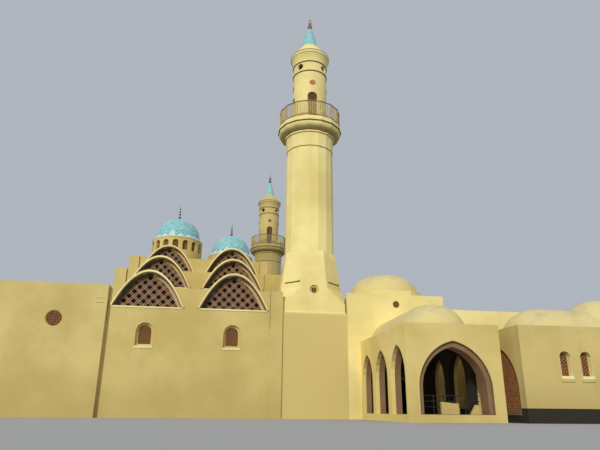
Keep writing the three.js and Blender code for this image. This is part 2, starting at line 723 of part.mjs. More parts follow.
// Right wing
function sideWingFront() {
  const { left, right, front, top, wall } = sideWing;
  let body = box(left, right, front, front + wall, 0, top);
  const outline = roundHeadOutline(wingWindows.half, wingWindows.sill, wingWindows.top);
  for (const step of [-1, 0, 1]) {
    for (const side of [-1, 1]) {
      const x = wingMiddle + step * wingWindows.spacing + side * wingWindows.pair;
      body = body.subtract(alongY(outline, x, front - 1, front + 2));
      body = body.add(box(x - wingSill.half, x + wingSill.half, front - wingSill.out, front + wall / 2,
        wingWindows.sill - wingSill.height, wingWindows.sill));
    }
  }
  return body;
}

function sideWingEnd(x0, arched) {
  const { front, top, wall } = sideWing;
  const body = box(x0, x0 + wall, front + wall + gap, setBack - gap, 0, top);
  if (!arched) return body;
  const { y, half, spring, apex } = sideArch;
  return body.subtract(alongX(pointedOutline(half, floorTop, spring, apex, 8), y, x0 - 1, x0 + 2));
}

addPiece('side_wing_front_wall', sideWingFront(), paint.stucco);
addPiece('side_wing_left_wall', sideWingEnd(sideWing.left, true), paint.stucco);
addPiece('side_wing_right_wall', sideWingEnd(sideWing.right - sideWing.wall, false), paint.stucco);

const wingArea = {
  x0: sideWing.left + sideWing.wall + gap,
  x1: sideWing.right - sideWing.wall - gap,
  y0: sideWing.front + sideWing.wall + gap,
  y1: setBack - gap,
};
const wingDeck = sideWing.top - deckBelowTop;
const wingHole = wingVault.half - 0.3;
addPiece('side_wing_roof', openedSlab(wingArea, wingDeck, [
  column(wingDome.radius - 0.3, 0, sideWing.top, wingMiddle, wingVault.y),
  ...[-1, 1].map((side) => (
    column(wingHole, 0, sideWing.top, wingMiddle + side * wingVault.roundedAt, wingVault.y)
  )),
  box(wingMiddle - wingVault.roundedAt, wingMiddle + wingVault.roundedAt,
    wingVault.y - wingHole, wingVault.y + wingHole, 0, sideWing.top),
]), paint.concrete);

// Two rounded barrel vaults with a dome between them, made along y and turned to run along x
function layAlongWing(geometry) {
  return geometry.rotateZ(-Math.PI / 2).translate(wingMiddle, wingVault.y, 0);
}

const wingBase = wingDeck + gap;
const domeRoom = turned([[0, wingBase - 1], [wingDome.radius + gap, wingBase - 1],
  ...domeProfile(wingDome.radius + gap, wingBase, wingDome.rise + gap, 5)], 0, 0, roundSides);
for (const [name, side] of [['left', -1], ['right', 1]]) {
  const end = side * wingVault.roundedAt;
  const shell = vaultShell(wingVault, wingBase, Math.min(0, end), Math.max(0, end), [end]);
  addMesh(`side_wing_${name}_vault`, layAlongWing(geometryOf(shell.subtract(domeRoom))), paint.cream);
}
const wingShell = shellDome(0, 0, wingBase, wingDome.radius, wingDome.rise, 0.25);
addMesh('side_wing_dome', layAlongWing(geometryOf(wingShell)), paint.cream);
addPiece('side_wing_floor', areaBox(wingArea, 0, floorTop), paint.concrete);

// Origin at the middle of the whole footprint, on the ground
const frontEdge = sideWing.front - wingSill.out;
const centre = [(wingEnd + eastEnd) / 2, (frontEdge + hallDepth + wingForward) / 2];
building.position.set(-centre[0] * metre, -centre[1] * metre, 0);

export default building;
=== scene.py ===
"""Finishes and fittings of a mosque building, a 1:10 scale model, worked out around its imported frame."""
import math
import re
import bmesh
import bpy
import numpy as np
from bpy.props import FloatProperty, FloatVectorProperty, IntProperty, PointerProperty
from mathutils import Matrix


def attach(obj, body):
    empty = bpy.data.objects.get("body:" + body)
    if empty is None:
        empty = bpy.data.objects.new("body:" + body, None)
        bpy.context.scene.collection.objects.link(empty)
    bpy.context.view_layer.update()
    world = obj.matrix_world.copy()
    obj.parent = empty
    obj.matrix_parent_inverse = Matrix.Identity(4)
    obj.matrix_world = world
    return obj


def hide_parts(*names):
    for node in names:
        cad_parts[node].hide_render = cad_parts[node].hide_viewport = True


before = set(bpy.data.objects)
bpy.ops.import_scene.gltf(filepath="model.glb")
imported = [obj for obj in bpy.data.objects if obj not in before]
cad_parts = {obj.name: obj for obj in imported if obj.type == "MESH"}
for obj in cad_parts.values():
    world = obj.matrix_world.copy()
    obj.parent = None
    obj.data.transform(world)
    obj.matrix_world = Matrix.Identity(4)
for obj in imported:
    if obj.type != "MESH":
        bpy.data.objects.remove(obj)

bl_info = {
    "name": "Mosque model finishes",
    "version": (1, 0, 0),
    "blender": (4, 5, 0),
    "location": "3D View > Sidebar > Mosque",
    "description": "Lattices, tiled domes, mouldings and paint for a mosque model",
    "category": "Object",
}

# One metre of the building, in metres of the model, and the plan point that lies over the model's origin
METRE = 0.1
PLAN_CENTRE = np.array([8.6, 23.7, 0.0])

# Sizes of the building in metres. x runs right along the hall's front, y back from it, z up from the ground
GAP = 0.003
BAY = 8.8
HALL_DEPTH = 61.6
MIDDLE = HALL_DEPTH / 2
COLUMNS = (-7.2, 1.65)
SIDES = ("front", "back")
HALL_LEFT, HALL_RIGHT = -11.1, 5.6
WING_END, EAST_END = -28.9, 46.1
TIER_STEP = 4.0
TIERS = ("first", "second", "third")
PARAPET = 12.9
FLOOR_TOP = 0.6
ARCH = {"half": 3.5, "foot": 10.85, "rise": 3.6}
WING_FRONT = -0.6
HALL_WINDOW = {"half": 0.88, "sill": 6.84, "top": 9.23}
WING_WINDOW = {"half": 0.5, "sill": 3.5, "top": 5.75}
ROUND_WINDOWS = (-15.97, -24.77)
DOMES = {
    "west": {"x": -7.2, "base": 26.953, "radius": 4.0, "rise": 4.05, "finial": 3.2, "ribs": 30},
    "middle": {"x": 1.65, "base": 24.753, "radius": 3.65, "rise": 3.8, "finial": 2.8, "ribs": 28},
    "east": {"x": 10.4, "base": 18.603, "radius": 2.6, "rise": 2.8, "finial": 2.9, "ribs": 20},
}
DOME_INSET = 0.45
RIBS = {"turns": 0.33, "width": 0.085, "height": 0.016}
SCALLOPS = {"height": 0.75, "count": 18}
DRUM = {"foot": 23.053, "ledge": 23.6, "top": 26.95, "radius": 4.05, "thick": 0.45, "windows": 16}
MINARETS = {"front": (10.4, 3.7), "back": (10.4, 57.9)}
TOWER_LEDGE = 10.8
PLINTH = {"face": 3.33, "slot": 14.3, "front": 0.25}
BALCONY = {"sides": 16, "foot": 31.403, "neck": 33.38, "drum": 3.12, "bulge": 0.83, "torus": 34.28,
           "deck": 34.6}
RAILING = {"reach": 3.82, "foot": 35.0, "top": 37.06, "baluster": 0.08}
LANTERN = {"foot": 34.603, "radius": 2.18, "thick": 0.3, "middle": 41.6, "upper": 42.65, "crown": 44.02}
LANTERN_DOOR = {"half": 0.52, "widened": 38.3, "middle": 38.88, "top": 39.4}
SPIRE = {"base": 47.6, "rise": 3.3, "finial": 2.74}
VESTIBULE = {"x": 19.6, "y": 4.4, "base": 13.88, "radius": 3.92, "rise": 2.39, "ledge": 4.32}
PORCH = {"left": 15.4, "right": 23.7, "middle": 19.55, "front": -14.0, "top": 7.9}
PORCH_ARCH = {"half": 3.16, "sill": FLOOR_TOP, "spring": 2.6, "apex": 6.45}
PORCH_INNER_ARCH = {"half": 2.8, "sill": FLOOR_TOP, "spring": 2.6, "apex": 6.0}
PORCH_SIDE_ARCH = {"half": 1.85, "sill": FLOOR_TOP, "spring": 3.7, "apex": 6.3}
PORCH_SIDE_ARCHES = (-11.7, -7.0, -2.3)
PORCH_RAIL = {"left": 16.4, "right": 22.7, "y": -11.4, "levels": (1.2, 1.65, 2.1), "thick": 0.06}
PORCH_LOW_WALLS_Y = -12.2
SIDE_WING = {"left": 25.103, "middle": 35.6, "front": -14.72, "vault": -10.65, "arch": -10.7}
SCREENED_ARCH = {"half": 3.1, "sill": FLOOR_TOP + 0.45, "spring": 2.6, "apex": 6.4}
DECK = 7.203
VAULT = {"half": 3.15, "thick": 0.25, "porch_start": -9.6, "porch_rise": 3.0, "wing_reach": 6.2,
         "wing_rise": 2.7, "dome_radius": 3.3, "dome_rise": 3.75}

# Low walls of the porch: left and right end, height at each, and how far the left end slants
PORCH_LOW_WALLS = ((18.9, 20.4, 1.62, 1.46, 0.0), (21.44, 22.75, 1.4, 1.25, 0.5))

# Boxes of the plan, corner to corner: the porch's room and reveals, over which shade is painted, and the
# right wing's dark skirting
PORCH_ROOM = ((16.25, -13.62, 0.0), (22.85, 0.05, 7.4))
PORCH_REVEALS = ((16.3, -12.35, 0.0), (24.0, 0.05, 7.4))
WING_SKIRTING = ((25.0, -15.0, -1.0), (60.0, 6.3, 1.15))

# Colours for those boxes: painted shade in the porch's room and reveals, and the skirting's own dark paint;
# and the grime on level tops
ROOM_PAINTED_SHADE, SKIRTING_DARK_PAINT, REVEAL_PAINTED_SHADE = (0.012, 0.010, 0.007), (0.020, 0.017, 0.011), (0.012, 0.009, 0.007)
GRIME = (0.38, 0.36, 0.29)

# The photograph's view: lengths in its own pixels, angles in degrees, and where in the plan it was taken
PHOTO_WIDTH, PHOTO_FOCAL = 600, 537.2
PITCH, HEADING, ROLL = 19.02, 8.68, -0.53
STAND = (0.0, -57.0, 0.85)
SENSOR = 36.0

# The stage: the floor's reach in metres of the model, and the sun's angles in degrees
FLOOR = {"reach": 40.0, "colour": (0.45, 0.45, 0.45)}
SUN = {"energy": 1.95, "width": 6, "elevation": 25, "azimuth": -27, "colour": (1.0, 0.96, 0.88)}
SKY = {"colour": (0.80, 0.86, 0.95, 1), "strength": 0.54}


def place(points):
    """Points in metres of the building's plan, as points of the model."""
    return (np.asarray(points, float) - PLAN_CENTRE) * METRE


def at_side(side, y):
    """A distance back from the hall's front, or its mirror image at the back."""
    return y if side == "front" else HALL_DEPTH - y


class Wall:
    """An upright plane: (along, height, out) in metres are measured from its foot point."""

    def __init__(self, x, y, facing, distance=0.0):
        """facing is a side's name or an angle from the front towards the right."""
        named = {"front": 0, "right": 1, "back": 2, "left": 3}
        turn = named[facing] * math.pi / 2 if facing in named else facing
        self.along = np.array([math.cos(turn), math.sin(turn), 0.0])
        self.out = np.array([math.sin(turn), -math.cos(turn), 0.0])
        self.foot = np.array([x, y, 0.0]) + distance * self.out

    def points(self, along, height, out):
        """foot + along * a + height * up + out * o, for arrays of a, height and o."""
        along, height, out = np.broadcast_arrays(along, height, out)
        flat = along[..., None] * self.along + out[..., None] * self.out + self.foot
        flat[..., 2] += height
        return place(flat)


# Outlines, as closed rows of (along, height)
def tympanum_outline(half, foot, rise, steps=56):
    """Height falls with distance to the power 2.1 from the crown: h = foot + rise (1 - |a / half| ^ 2.1)."""
    angle = np.linspace(0, math.pi, steps)
    along = half * np.cos(angle)
    return np.stack([along, foot + rise * (1 - np.abs(along / half) ** 2.1)], 1)


def pointed_outline(half, sill, spring, apex, steps=24):
    """Straight jambs and two arcs whose centres lie beyond the middle, so that they meet in a point."""
    rise = apex - spring
    centre = (rise * rise - half * half) / (2 * half)
    radius = half + centre
    angle = np.linspace(0, math.atan2(rise, centre), steps)
    right = np.stack([radius * np.cos(angle) - centre, spring + radius * np.sin(angle)], 1)
    left = right[:-1][::-1] * (-1, 1)
    return np.concatenate([[(-half, sill), (half, sill)], right, left])


def round_head_outline(half, sill, top, steps=24):
    """A half circle on straight jambs."""
    angle = np.linspace(0, math.pi, steps)
    head = np.stack([half * np.cos(angle), top - half + half * np.sin(angle)], 1)
    return np.concatenate([[(-half, sill), (half, sill)], head])


def circle_outline(radius, height, steps=40):
    """Cosine and sine of equal steps."""
    angle = np.arange(steps) * 2 * math.pi / steps
    return np.stack([radius * np.cos(angle), height + radius * np.sin(angle)], 1)


def star_outline(radius, height, points=8):
    """Radius swings between two values, so that the outline has points."""
    angle = np.arange(2 * points) * math.pi / points + math.pi / 2
    reach = np.where(np.arange(2 * points) % 2 == 0, radius, 0.74 * radius)
    return np.stack([reach * np.cos(angle), height + reach * np.sin(angle)], 1)


def grown(outline, by):
    """Each point of a closed outline moved along the mean of its two edges' normals."""
    before = outline - np.roll(outline, 1, 0)
    after = np.roll(outline, -1, 0) - outline
    normals = [np.stack([edge[:, 1], -edge[:, 0]], 1) / np.linalg.norm(edge, axis=1)[:, None]
               for edge in (before, after)]
    mean = normals[0] + normals[1]
    cosine = np.sum(mean * normals[0], 1) / np.linalg.norm(mean, axis=1)
    mean = mean / np.linalg.norm(mean, axis=1)[:, None]
    return outline + mean * (by / np.maximum(cosine, 0.45))[:, None]


# Meshes. Each shape is (points, quads), and shapes are joined before they become one piece
def sheet(points, close_u=False, close_v=False):
    """Quads between the neighbours of a grid of points, with its edges joined where it closes."""
    count_u, count_v = points.shape[:2]
    u = np.arange(count_u if close_u else count_u - 1)
    v = np.arange(count_v if close_v else count_v - 1)
    u, v = np.meshgrid(u, v, indexing="ij")
    next_u = (u + 1) % count_u
    next_v = (v + 1) % count_v
    corners = [u * count_v + v, next_u * count_v + v, next_u * count_v + next_v, u * count_v + next_v]
    return points.reshape(-1, 3), np.stack(corners, -1).reshape(-1, 4)


def joined(shapes):
    """All shapes as one, with each shape's point numbers moved past those before it."""
    counts = np.cumsum([0] + [len(points) for points, _ in shapes[:-1]])
    points = np.concatenate([shape[0] for shape in shapes])
    quads = np.concatenate([shape[1] + start for shape, start in zip(shapes, counts)])
    return points, quads


def turned(profile, x, y, sides=64, offset=0.0):
    """A profile of (radius, height) turned about an upright axis: x + r cos a, y + r sin a, z."""
    profile = np.asarray(profile, float)
    angle = offset + np.arange(sides) * 2 * math.pi / sides
    points = np.empty((sides, len(profile), 3))
    points[..., 0] = x + profile[None, :, 0] * np.cos(angle)[:, None]
    points[..., 1] = y + profile[None, :, 0] * np.sin(angle)[:, None]
    points[..., 2] = profile[None, :, 1]
    return sheet(place(points), close_u=True)


def square_profile(inner, outer, low, high):
    """The closed section of a square-edged ring, between two radii and two heights."""
    return [(inner, low), (outer, low), (outer, high), (inner, high), (inner, low)]


# A box's corners as shares of its three sizes, and its faces as numbers of those corners
BOX_CORNERS = np.array([[0, 0, 0], [1, 0, 0], [1, 1, 0], [0, 1, 0],
                        [0, 0, 1], [1, 0, 1], [1, 1, 1], [0, 1, 1]])
BOX_FACES = np.array([[0, 3, 2, 1], [4, 5, 6, 7], [0, 1, 5, 4], [1, 2, 6, 5], [2, 3, 7, 6], [3, 0, 4, 7]])


def blocks(points):
    """Rows of eight corners as boxes: eight times a box's number is added to its faces' numbers."""
    quads = np.arange(len(points))[:, None, None] * 8 + BOX_FACES
    return points.reshape(-1, 3), quads.reshape(-1, 4)


def boxes(wall, low, high):
    """Boxes on a wall between rows of low and high corners (along, height, out)."""
    low, high = np.asarray(low, float).reshape(-1, 3), np.asarray(high, float).reshape(-1, 3)
    corners = low[:, None] * (1 - BOX_CORNERS) + high[:, None] * BOX_CORNERS
    return blocks(wall.points(corners[..., 0], corners[..., 1], corners[..., 2]))


def uprights(wall, left, width, heights, outs):
    """Upright bars along a wall, each from its left edge over a width, between two heights and two outs."""
    low, high = [np.stack([edge, np.full_like(edge, height), np.full_like(edge, out)], 1)
                 for edge, height, out in zip((left, left + width), heights, outs)]
    return boxes(wall, low, high)


def bars(wall, starts, ends, width, back, front):
    """Flat bars in a wall's plane from starts to ends (along, height), between two distances out."""
    run = ends - starts
    side = np.stack([-run[:, 1], run[:, 0]], 1)
    side = side / np.linalg.norm(side, axis=1)[:, None] * width / 2
    ring = np.stack([starts - side, ends - side, ends + side, starts + side], 1)
    ring = np.concatenate([ring, ring], 1)
    return blocks(wall.points(ring[..., 0], ring[..., 1], np.repeat([back, front], 4)))


def plate(wall, outline, back, front):
    """A closed outline given thickness: rings that shrink to its middle at the back and at the front."""
    middle = outline.mean(0)
    shrink = np.array([0.0, 1.0, 1.0, 0.0])
    ring = middle + (outline[:, None] - middle) * shrink[:, None]
    return sheet(wall.points(ring[..., 0], ring[..., 1], [back, back, front, front]), close_u=True)


def band(wall, inner, outer, back, front):
    """A closed band between two outlines with the same number of points, given thickness."""
    ring = np.stack([inner, outer, outer, inner], 1)
    points = wall.points(ring[..., 0], ring[..., 1], [back, back, front, front])
    return sheet(points, close_u=True, close_v=True)


def open_band(wall, inner, outer, back, front):
    """A band between two open rows of points, closed at its two ends."""
    ring = np.stack([inner, outer, outer, inner], 1)
    middle = ring.mean(1, keepdims=True)
    ring = np.concatenate([np.repeat(middle[:1], 4, 1), ring, np.repeat(middle[-1:], 4, 1)])
    out = np.broadcast_to([back, back, front, front], ring.shape[:2]).copy()
    out[[0, -1]] = (back + front) / 2
    points = wall.points(ring[..., 0], ring[..., 1], out)
    return sheet(points, close_v=True)


def slanted_lines(outline, pitch, slope, shift=0.0):
    """Parallel lines clipped to a convex outline: where each line's distance changes sign along an edge,
    the crossing is found by proportion, and the first and last crossing are the line's ends."""
    direction = np.array([math.cos(slope), math.sin(slope)])
    normal = np.array([-direction[1], direction[0]])
    distance = outline @ normal
    first, last = np.ceil((distance.min() - shift) / pitch), np.floor((distance.max() - shift) / pitch)
    lines = np.arange(first, last + 1) * pitch + shift
    near = distance[None] - lines[:, None]
    far = np.roll(distance, -1)[None] - lines[:, None]
    crosses = near * far < 0
    part = np.where(crosses, near / np.where(crosses, near - far, 1), 0)
    along = (outline @ direction)[None] * (1 - part) + (np.roll(outline, -1, 0) @ direction)[None] * part
    low = np.where(crosses, along, np.inf).min(1)
    high = np.where(crosses, along, -np.inf).max(1)
    kept = high - low > 0.02
    low, high, lines = low[kept], high[kept], lines[kept]
    starts = low[:, None] * direction + lines[:, None] * normal
    ends = high[:, None] * direction + lines[:, None] * normal
    return starts, ends


def lattice(wall, outline, pitch, width, back, front):
    """Two families of flat bars that cross at right angles, clipped to an outline."""
    families = [slanted_lines(outline, pitch, slope, pitch / 2) for slope in (math.pi / 4, -math.pi / 4)]
    return joined([bars(wall, starts, ends, width, back, front) for starts, ends in families])


def fine_lattice(wall, outline, pitch, spread, width, back, front):
    """Two thin bars along every line of a lattice, at half the spread to each side."""
    shapes = []
    for slope in (math.pi / 4, -math.pi / 4):
        for side in (-spread / 2, spread / 2):
            starts, ends = slanted_lines(outline, pitch, slope, pitch / 2 + side)
            shapes.append(bars(wall, starts, ends, width, back, front))
    return joined(shapes)


def add_piece(name, shape, material, smooth_below=0.0, replaces=()):
    """A piece from points and quads, with its faces outwards, that rides on the building. Edges flatter than
    the given angle in degrees look smooth."""
    points, quads = shape
    if len(quads) == 0:
        raise ValueError(f"{name} has no faces")
    mesh = bpy.data.meshes.new(name)
    mesh.from_pydata(points, [], quads)
    work = bmesh.new()
    work.from_mesh(mesh)
    bmesh.ops.remove_doubles(work, verts=work.verts, dist=1e-6)
    bmesh.ops.dissolve_degenerate(work, edges=work.edges, dist=1e-6)
    bmesh.ops.recalc_face_normals(work, faces=work.faces)
    work.to_mesh(mesh)
    work.free()
    if smooth_below > 0:
        mesh.shade_smooth()
        mesh.set_sharp_from_angle(angle=math.radians(smooth_below))
    piece = bpy.data.objects.new(name, mesh)
    bpy.context.scene.collection.objects.link(piece)
    piece.data.materials.append(material)
    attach(piece, "root")
    if replaces:
        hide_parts(*replaces)
    return piece


# Materials
class Value:
    """A number that varies over a surface. Arithmetic on values adds Math nodes."""

    def __init__(self, shader, socket):
        self.shader = shader
        self.socket = socket

    def math(self, operation, *values):
        """A Math node with the given operation on the given values."""
        return self.shader.node("ShaderNodeMath", {"operation": operation}, dict(enumerate(values)))

    def __add__(self, other):
        return self.math("ADD", self, other)

    def __radd__(self, other):
        return self.math("ADD", other, self)

    def __sub__(self, other):
        return self.math("SUBTRACT", self, other)

    def __rsub__(self, other):
        return self.math("SUBTRACT", other, self)

    def __mul__(self, other):
        return self.math("MULTIPLY", self, other)

    def __rmul__(self, other):
        return self.math("MULTIPLY", other, self)

    def __truediv__(self, other):
        return self.math("DIVIDE", self, other)

    def __gt__(self, other):
        return self.math("GREATER_THAN", self, other)

    def __lt__(self, other):
        return self.math("LESS_THAN", self, other)

    def clamped(self):
        """The value held between 0 and 1."""
        return self.shader.node("ShaderNodeClamp", {}, {"Value": self})

    def fract(self):
        """What is left of the value above its whole part."""
        return self.math("FRACT", self)

    def floor(self):
        """The whole part of the value."""
        return self.math("FLOOR", self)

    def absolute(self):
        """The value without its sign."""
        return self.math("ABSOLUTE", self)

    def ramp(self, low, high):
        """0 below low, 1 above high, smooth between."""
        sockets = {"Value": self, "From Min": low, "From Max": high}
        return self.shader.node("ShaderNodeMapRange", {"interpolation_type": "SMOOTHSTEP"}, sockets)


class Shader:
    """A material with one principled shader, built node by node."""

    def __init__(self, name, roughness=0.9, metallic=0.0):
        self.material = bpy.data.materials.new(name)
        self.material.use_nodes = True
        self.tree = self.material.node_tree
        self.surface = self.tree.nodes["Principled BSDF"]
        self.surface.inputs["Roughness"].default_value = roughness
        self.surface.inputs["Metallic"].default_value = metallic

    def node(self, kind, settings, sockets, output=0):
        """One node: its settings first, then the values or links of its sockets."""
        node = self.tree.nodes.new(kind)
        for key, value in settings.items():
            setattr(node, key, value)
        for key, value in sockets.items():
            if isinstance(value, Value):
                self.tree.links.new(value.socket, node.inputs[key])
            else:
                node.inputs[key].default_value = value
        return Value(self, node.outputs[output])

    def position(self, scale=(1, 1, 1)):
        """Object coordinates in building metres, stretched by a scale."""
        here = self.node("ShaderNodeTexCoord", {}, {}, "Object")
        stretch = tuple(value / METRE for value in scale)
        return self.node("ShaderNodeMapping", {}, {"Vector": here, "Scale": stretch})

    def parts(self, vector):
        """The three numbers of a vector."""
        return [self.node("ShaderNodeSeparateXYZ", {}, {0: vector}, axis) for axis in "XYZ"]

    def noise(self, vector, scale, detail=3.0, roughness=0.55):
        """Soft noise from 0 to 1, whose clouds grow as the scale falls."""
        sockets = {"Vector": vector, "Scale": scale, "Detail": detail, "Roughness": roughness}
        return self.node("ShaderNodeTexNoise", {}, sockets, "Fac")

    def mix(self, factor, first, second):
        """Colour between first and second."""
        first, second = [value if isinstance(value, Value) else (*value, 1.0) for value in (first, second)]
        settings = {"data_type": "RGBA"}
        return self.node("ShaderNodeMix", settings, {0: factor, 6: first, 7: second}, 2)

    def normal_up(self):
        """How far a face looks up, from -1 to 1."""
        normal = self.node("ShaderNodeNewGeometry", {}, {}, "Normal")
        return self.parts(normal)[2]

    def colour(self, value):
        """Gives the surface its colour, fixed or worked out."""
        self.link(value if isinstance(value, Value) else (*value, 1.0), "Base Color")

    def link(self, value, socket):
        """A value or a constant for one socket of the surface."""
        if isinstance(value, Value):
            self.tree.links.new(value.socket, self.surface.inputs[socket])
        else:
            self.surface.inputs[socket].default_value = value

    def bump(self, height, distance, strength=0.6):
        """Height in building metres times distance, as a change of the surface's normal."""
        sockets = {"Height": height, "Distance": distance * METRE, "Strength": strength}
        self.link(self.node("ShaderNodeBump", {}, sockets), "Normal")


def linear(colour):
    """A display colour from 0 to 1, as the linear light that shaders use."""
    colour = np.asarray(colour, float)
    return tuple(np.where(colour <= 0.04045, colour / 12.92, ((colour + 0.055) / 1.055) ** 2.4))


def tinted(colour, factor):
    """A colour times one factor or three, up to full light."""
    return tuple(np.minimum(np.asarray(colour) * factor, 1.0))


def inside_box(shader, here, box):
    """1 where a point lies within a box of the plan (x, y, z in metres), else 0."""
    inside = 1.0
    for part, near, far, centre in zip(shader.parts(here), *box, PLAN_CENTRE):
        inside = (part > near - centre) * (part < far - centre) * inside
    return inside


def joint_line(value, pitch, near, far):
    """1 along lines at every pitch: the distance from the middle of a pitch, ramped from near to far."""
    return ((value / pitch).fract() - 0.5).absolute().ramp(near, far)


def wall_paint(name, colour, dirt=1.0, inside=False, low_colour=None, under=0.35):
    """Painted stucco: clouds of tone, soft streaks below edges, hairlines of the shuttering, splashed feet,
    grey tops, and painted shade on faces that look down, by the share under. With inside, shade is painted
    over the porch's room and the right wing gets its dark skirting. A low colour takes over below the towers'
    ledge."""
    shader = Shader(name, roughness=0.92)
    here = shader.position()
    across, _, height = shader.parts(here)
    up = shader.normal_up()
    clouds = shader.noise(here, 0.16, 4.0)
    patches = shader.noise(here, 0.9, 5.0, 0.65)
    fine = shader.noise(here, 9.0, 4.0, 0.7)
    streaks = shader.noise(shader.position((0.9, 0.9, 0.05)), 1.3, 5.0, 0.68)
    deep, pale = tinted(colour, (0.86, 0.84, 0.76)), tinted(colour, (1.06, 1.07, 1.10))
    soiled = tinted(colour, (0.66, 0.64, 0.54))
    tone = shader.mix(clouds.ramp(0.32, 0.68), deep, pale)
    if low_colour:
        tone = shader.mix(height.ramp(TOWER_LEDGE - 0.04, TOWER_LEDGE + 0.04), low_colour, tone)
    run = streaks.ramp(0.52, 0.8) * patches.ramp(0.35, 0.7)
    tone = shader.mix((run * 0.5 * dirt + patches.ramp(0.45, 0.8) * 0.1).clamped(), tone, soiled)
    level_line = joint_line(height, 1.22, 0.488, 0.497)
    upright_line = joint_line(across, 2.44, 0.494, 0.498)
    lines = level_line.math("MAXIMUM", level_line, upright_line) * patches.ramp(0.4, 0.6) * 0.16 * dirt
    tone = shader.mix(lines, tone, soiled)
    splashed = 1.0 - (height + clouds * 3.0 - 1.5).ramp(0.2, 6.0)
    tone = shader.mix((splashed * 0.45 * dirt).clamped(), tone, soiled)
    # Painted shade over the porch's room; the skirting below is the wing's own dark paint
    if inside:
        tone = shader.mix(inside_box(shader, here, PORCH_ROOM) * 0.97, tone, ROOM_PAINTED_SHADE)
        tone = shader.mix(inside_box(shader, here, WING_SKIRTING) * 0.99, tone, SKIRTING_DARK_PAINT)
    # Painted shade: faces that look down are darkened towards three tenths of their colour, by the share
    # under and more in patches
    below = ((0.0 - up).ramp(0.12, 0.9) * (patches * 0.5 + under)).clamped()
    tone = shader.mix(below, tone, tinted(colour, 0.3))
    grime = (up.ramp(0.75, 0.98) * (clouds.ramp(0.3, 0.6) * 0.35 + 0.3) * dirt).clamped()
    shader.colour(shader.mix(grime, tone, GRIME))
    shader.bump(fine * 0.35 + clouds, 0.02, 0.5)
    return shader.material


def plain_paint(name, colour, roughness=0.6, metallic=0.0, wear=0.25, scale=3.0, inside=False, shine=0.5):
    """One colour with soft patches, for bars, frames, rails and metal. With inside, shade is painted over the
    reveals inside the porch.
    Shine is the share of light that the bare surface mirrors."""
    shader = Shader(name, roughness, metallic)
    shader.surface.inputs["Specular IOR Level"].default_value = shine
    here = shader.position()
    patches = shader.noise(here, scale, 4.0)
    tone = shader.mix(patches.ramp(0.35, 0.7), tinted(colour, 1 - wear), colour)
    # Painted shade over the rose reveals inside the porch
    if inside:
        tone = shader.mix(inside_box(shader, here, PORCH_REVEALS) * 0.96, tone, REVEAL_PAINTED_SHADE)
    shader.colour(tone)
    shader.link((patches * 0.2 + (roughness - 0.1)).clamped(), "Roughness")
    shader.bump(shader.noise(here, 25.0, 3.0), 0.01, 0.3)
    return shader.material


def shell_paint(name, colour):
    """Pale painted shell with grey soiling that lies on its crown and runs down its sides."""
    shader = Shader(name, roughness=0.88)
    here = shader.position()
    up = shader.normal_up()
    clouds = shader.noise(here, 0.45, 5.0, 0.6)
    runs = shader.noise(shader.position((1.6, 1.6, 0.25)), 1.5, 4.0)
    soil = (clouds.ramp(0.42, 0.75) * 0.6 + runs.ramp(0.5, 0.75) * 0.35) * up.ramp(0.05, 0.8)
    shader.colour(shader.mix((soil * 0.75).clamped(), colour, (0.40, 0.39, 0.31)))
    shader.bump(shader.noise(here, 6.0, 4.0), 0.02, 0.4)
    return shader.material


def tile_glaze(name, around, along, pale_by=0.0):
    """Diamond tiles on a dome's own UV map: each tile takes its own tone of turquoise."""
    shader = Shader(name, roughness=0.32)
    uv = shader.node("ShaderNodeUVMap", {"uv_map": "UVMap"}, {})
    across, up, _ = shader.parts(uv)
    first = across * around + up * along
    second = across * around - up * along
    tile = shader.node("ShaderNodeCombineXYZ", {}, {0: first.floor(), 1: second.floor()})
    tone = shader.node("ShaderNodeTexWhiteNoise", {"noise_dimensions": "2D"}, {"Vector": tile}, "Value")
    near_first = (first.fract() - 0.5).absolute()
    near_second = (second.fract() - 0.5).absolute()
    joint = near_first.math("MAXIMUM", near_first, near_second).ramp(0.42, 0.47)
    deep, light, pale = linear((0.25, 0.655, 0.76)), linear((0.42, 0.785, 0.84)), linear((0.64, 0.86, 0.87))
    deep, light = [tuple(a + (b - a) * pale_by for a, b in zip(shade, pale)) for shade in (deep, light)]
    glaze = shader.mix(tone.ramp(0.0, 0.8), deep, light)
    glaze = shader.mix((tone > 0.9) * 0.8, glaze, pale)
    patches = shader.noise(shader.position(), 0.7, 4.0)
    glaze = shader.mix(patches.ramp(0.5, 0.8) * 0.35, glaze, pale)
    shader.colour(shader.mix(joint, glaze, linear((0.72, 0.82, 0.76))))
    shader.link(joint * 0.4 + 0.3, "Roughness")
    shader.bump(1.0 - joint, 0.03, 0.5)
    return shader.material


def roof_felt(name):
    """Grey roof and floor slabs with puddle marks."""
    shader = Shader(name, roughness=0.95)
    here = shader.position()
    marks = shader.noise(here, 0.25, 5.0, 0.6)
    fine = shader.noise(here, 6.0, 3.0)
    tone = shader.mix(marks.ramp(0.35, 0.65), (0.26, 0.255, 0.24), (0.40, 0.39, 0.36))
    shader.colour(shader.mix(fine.ramp(0.3, 0.7) * 0.3, tone, (0.22, 0.22, 0.20)))
    shader.bump(fine, 0.02, 0.4)
    return shader.material


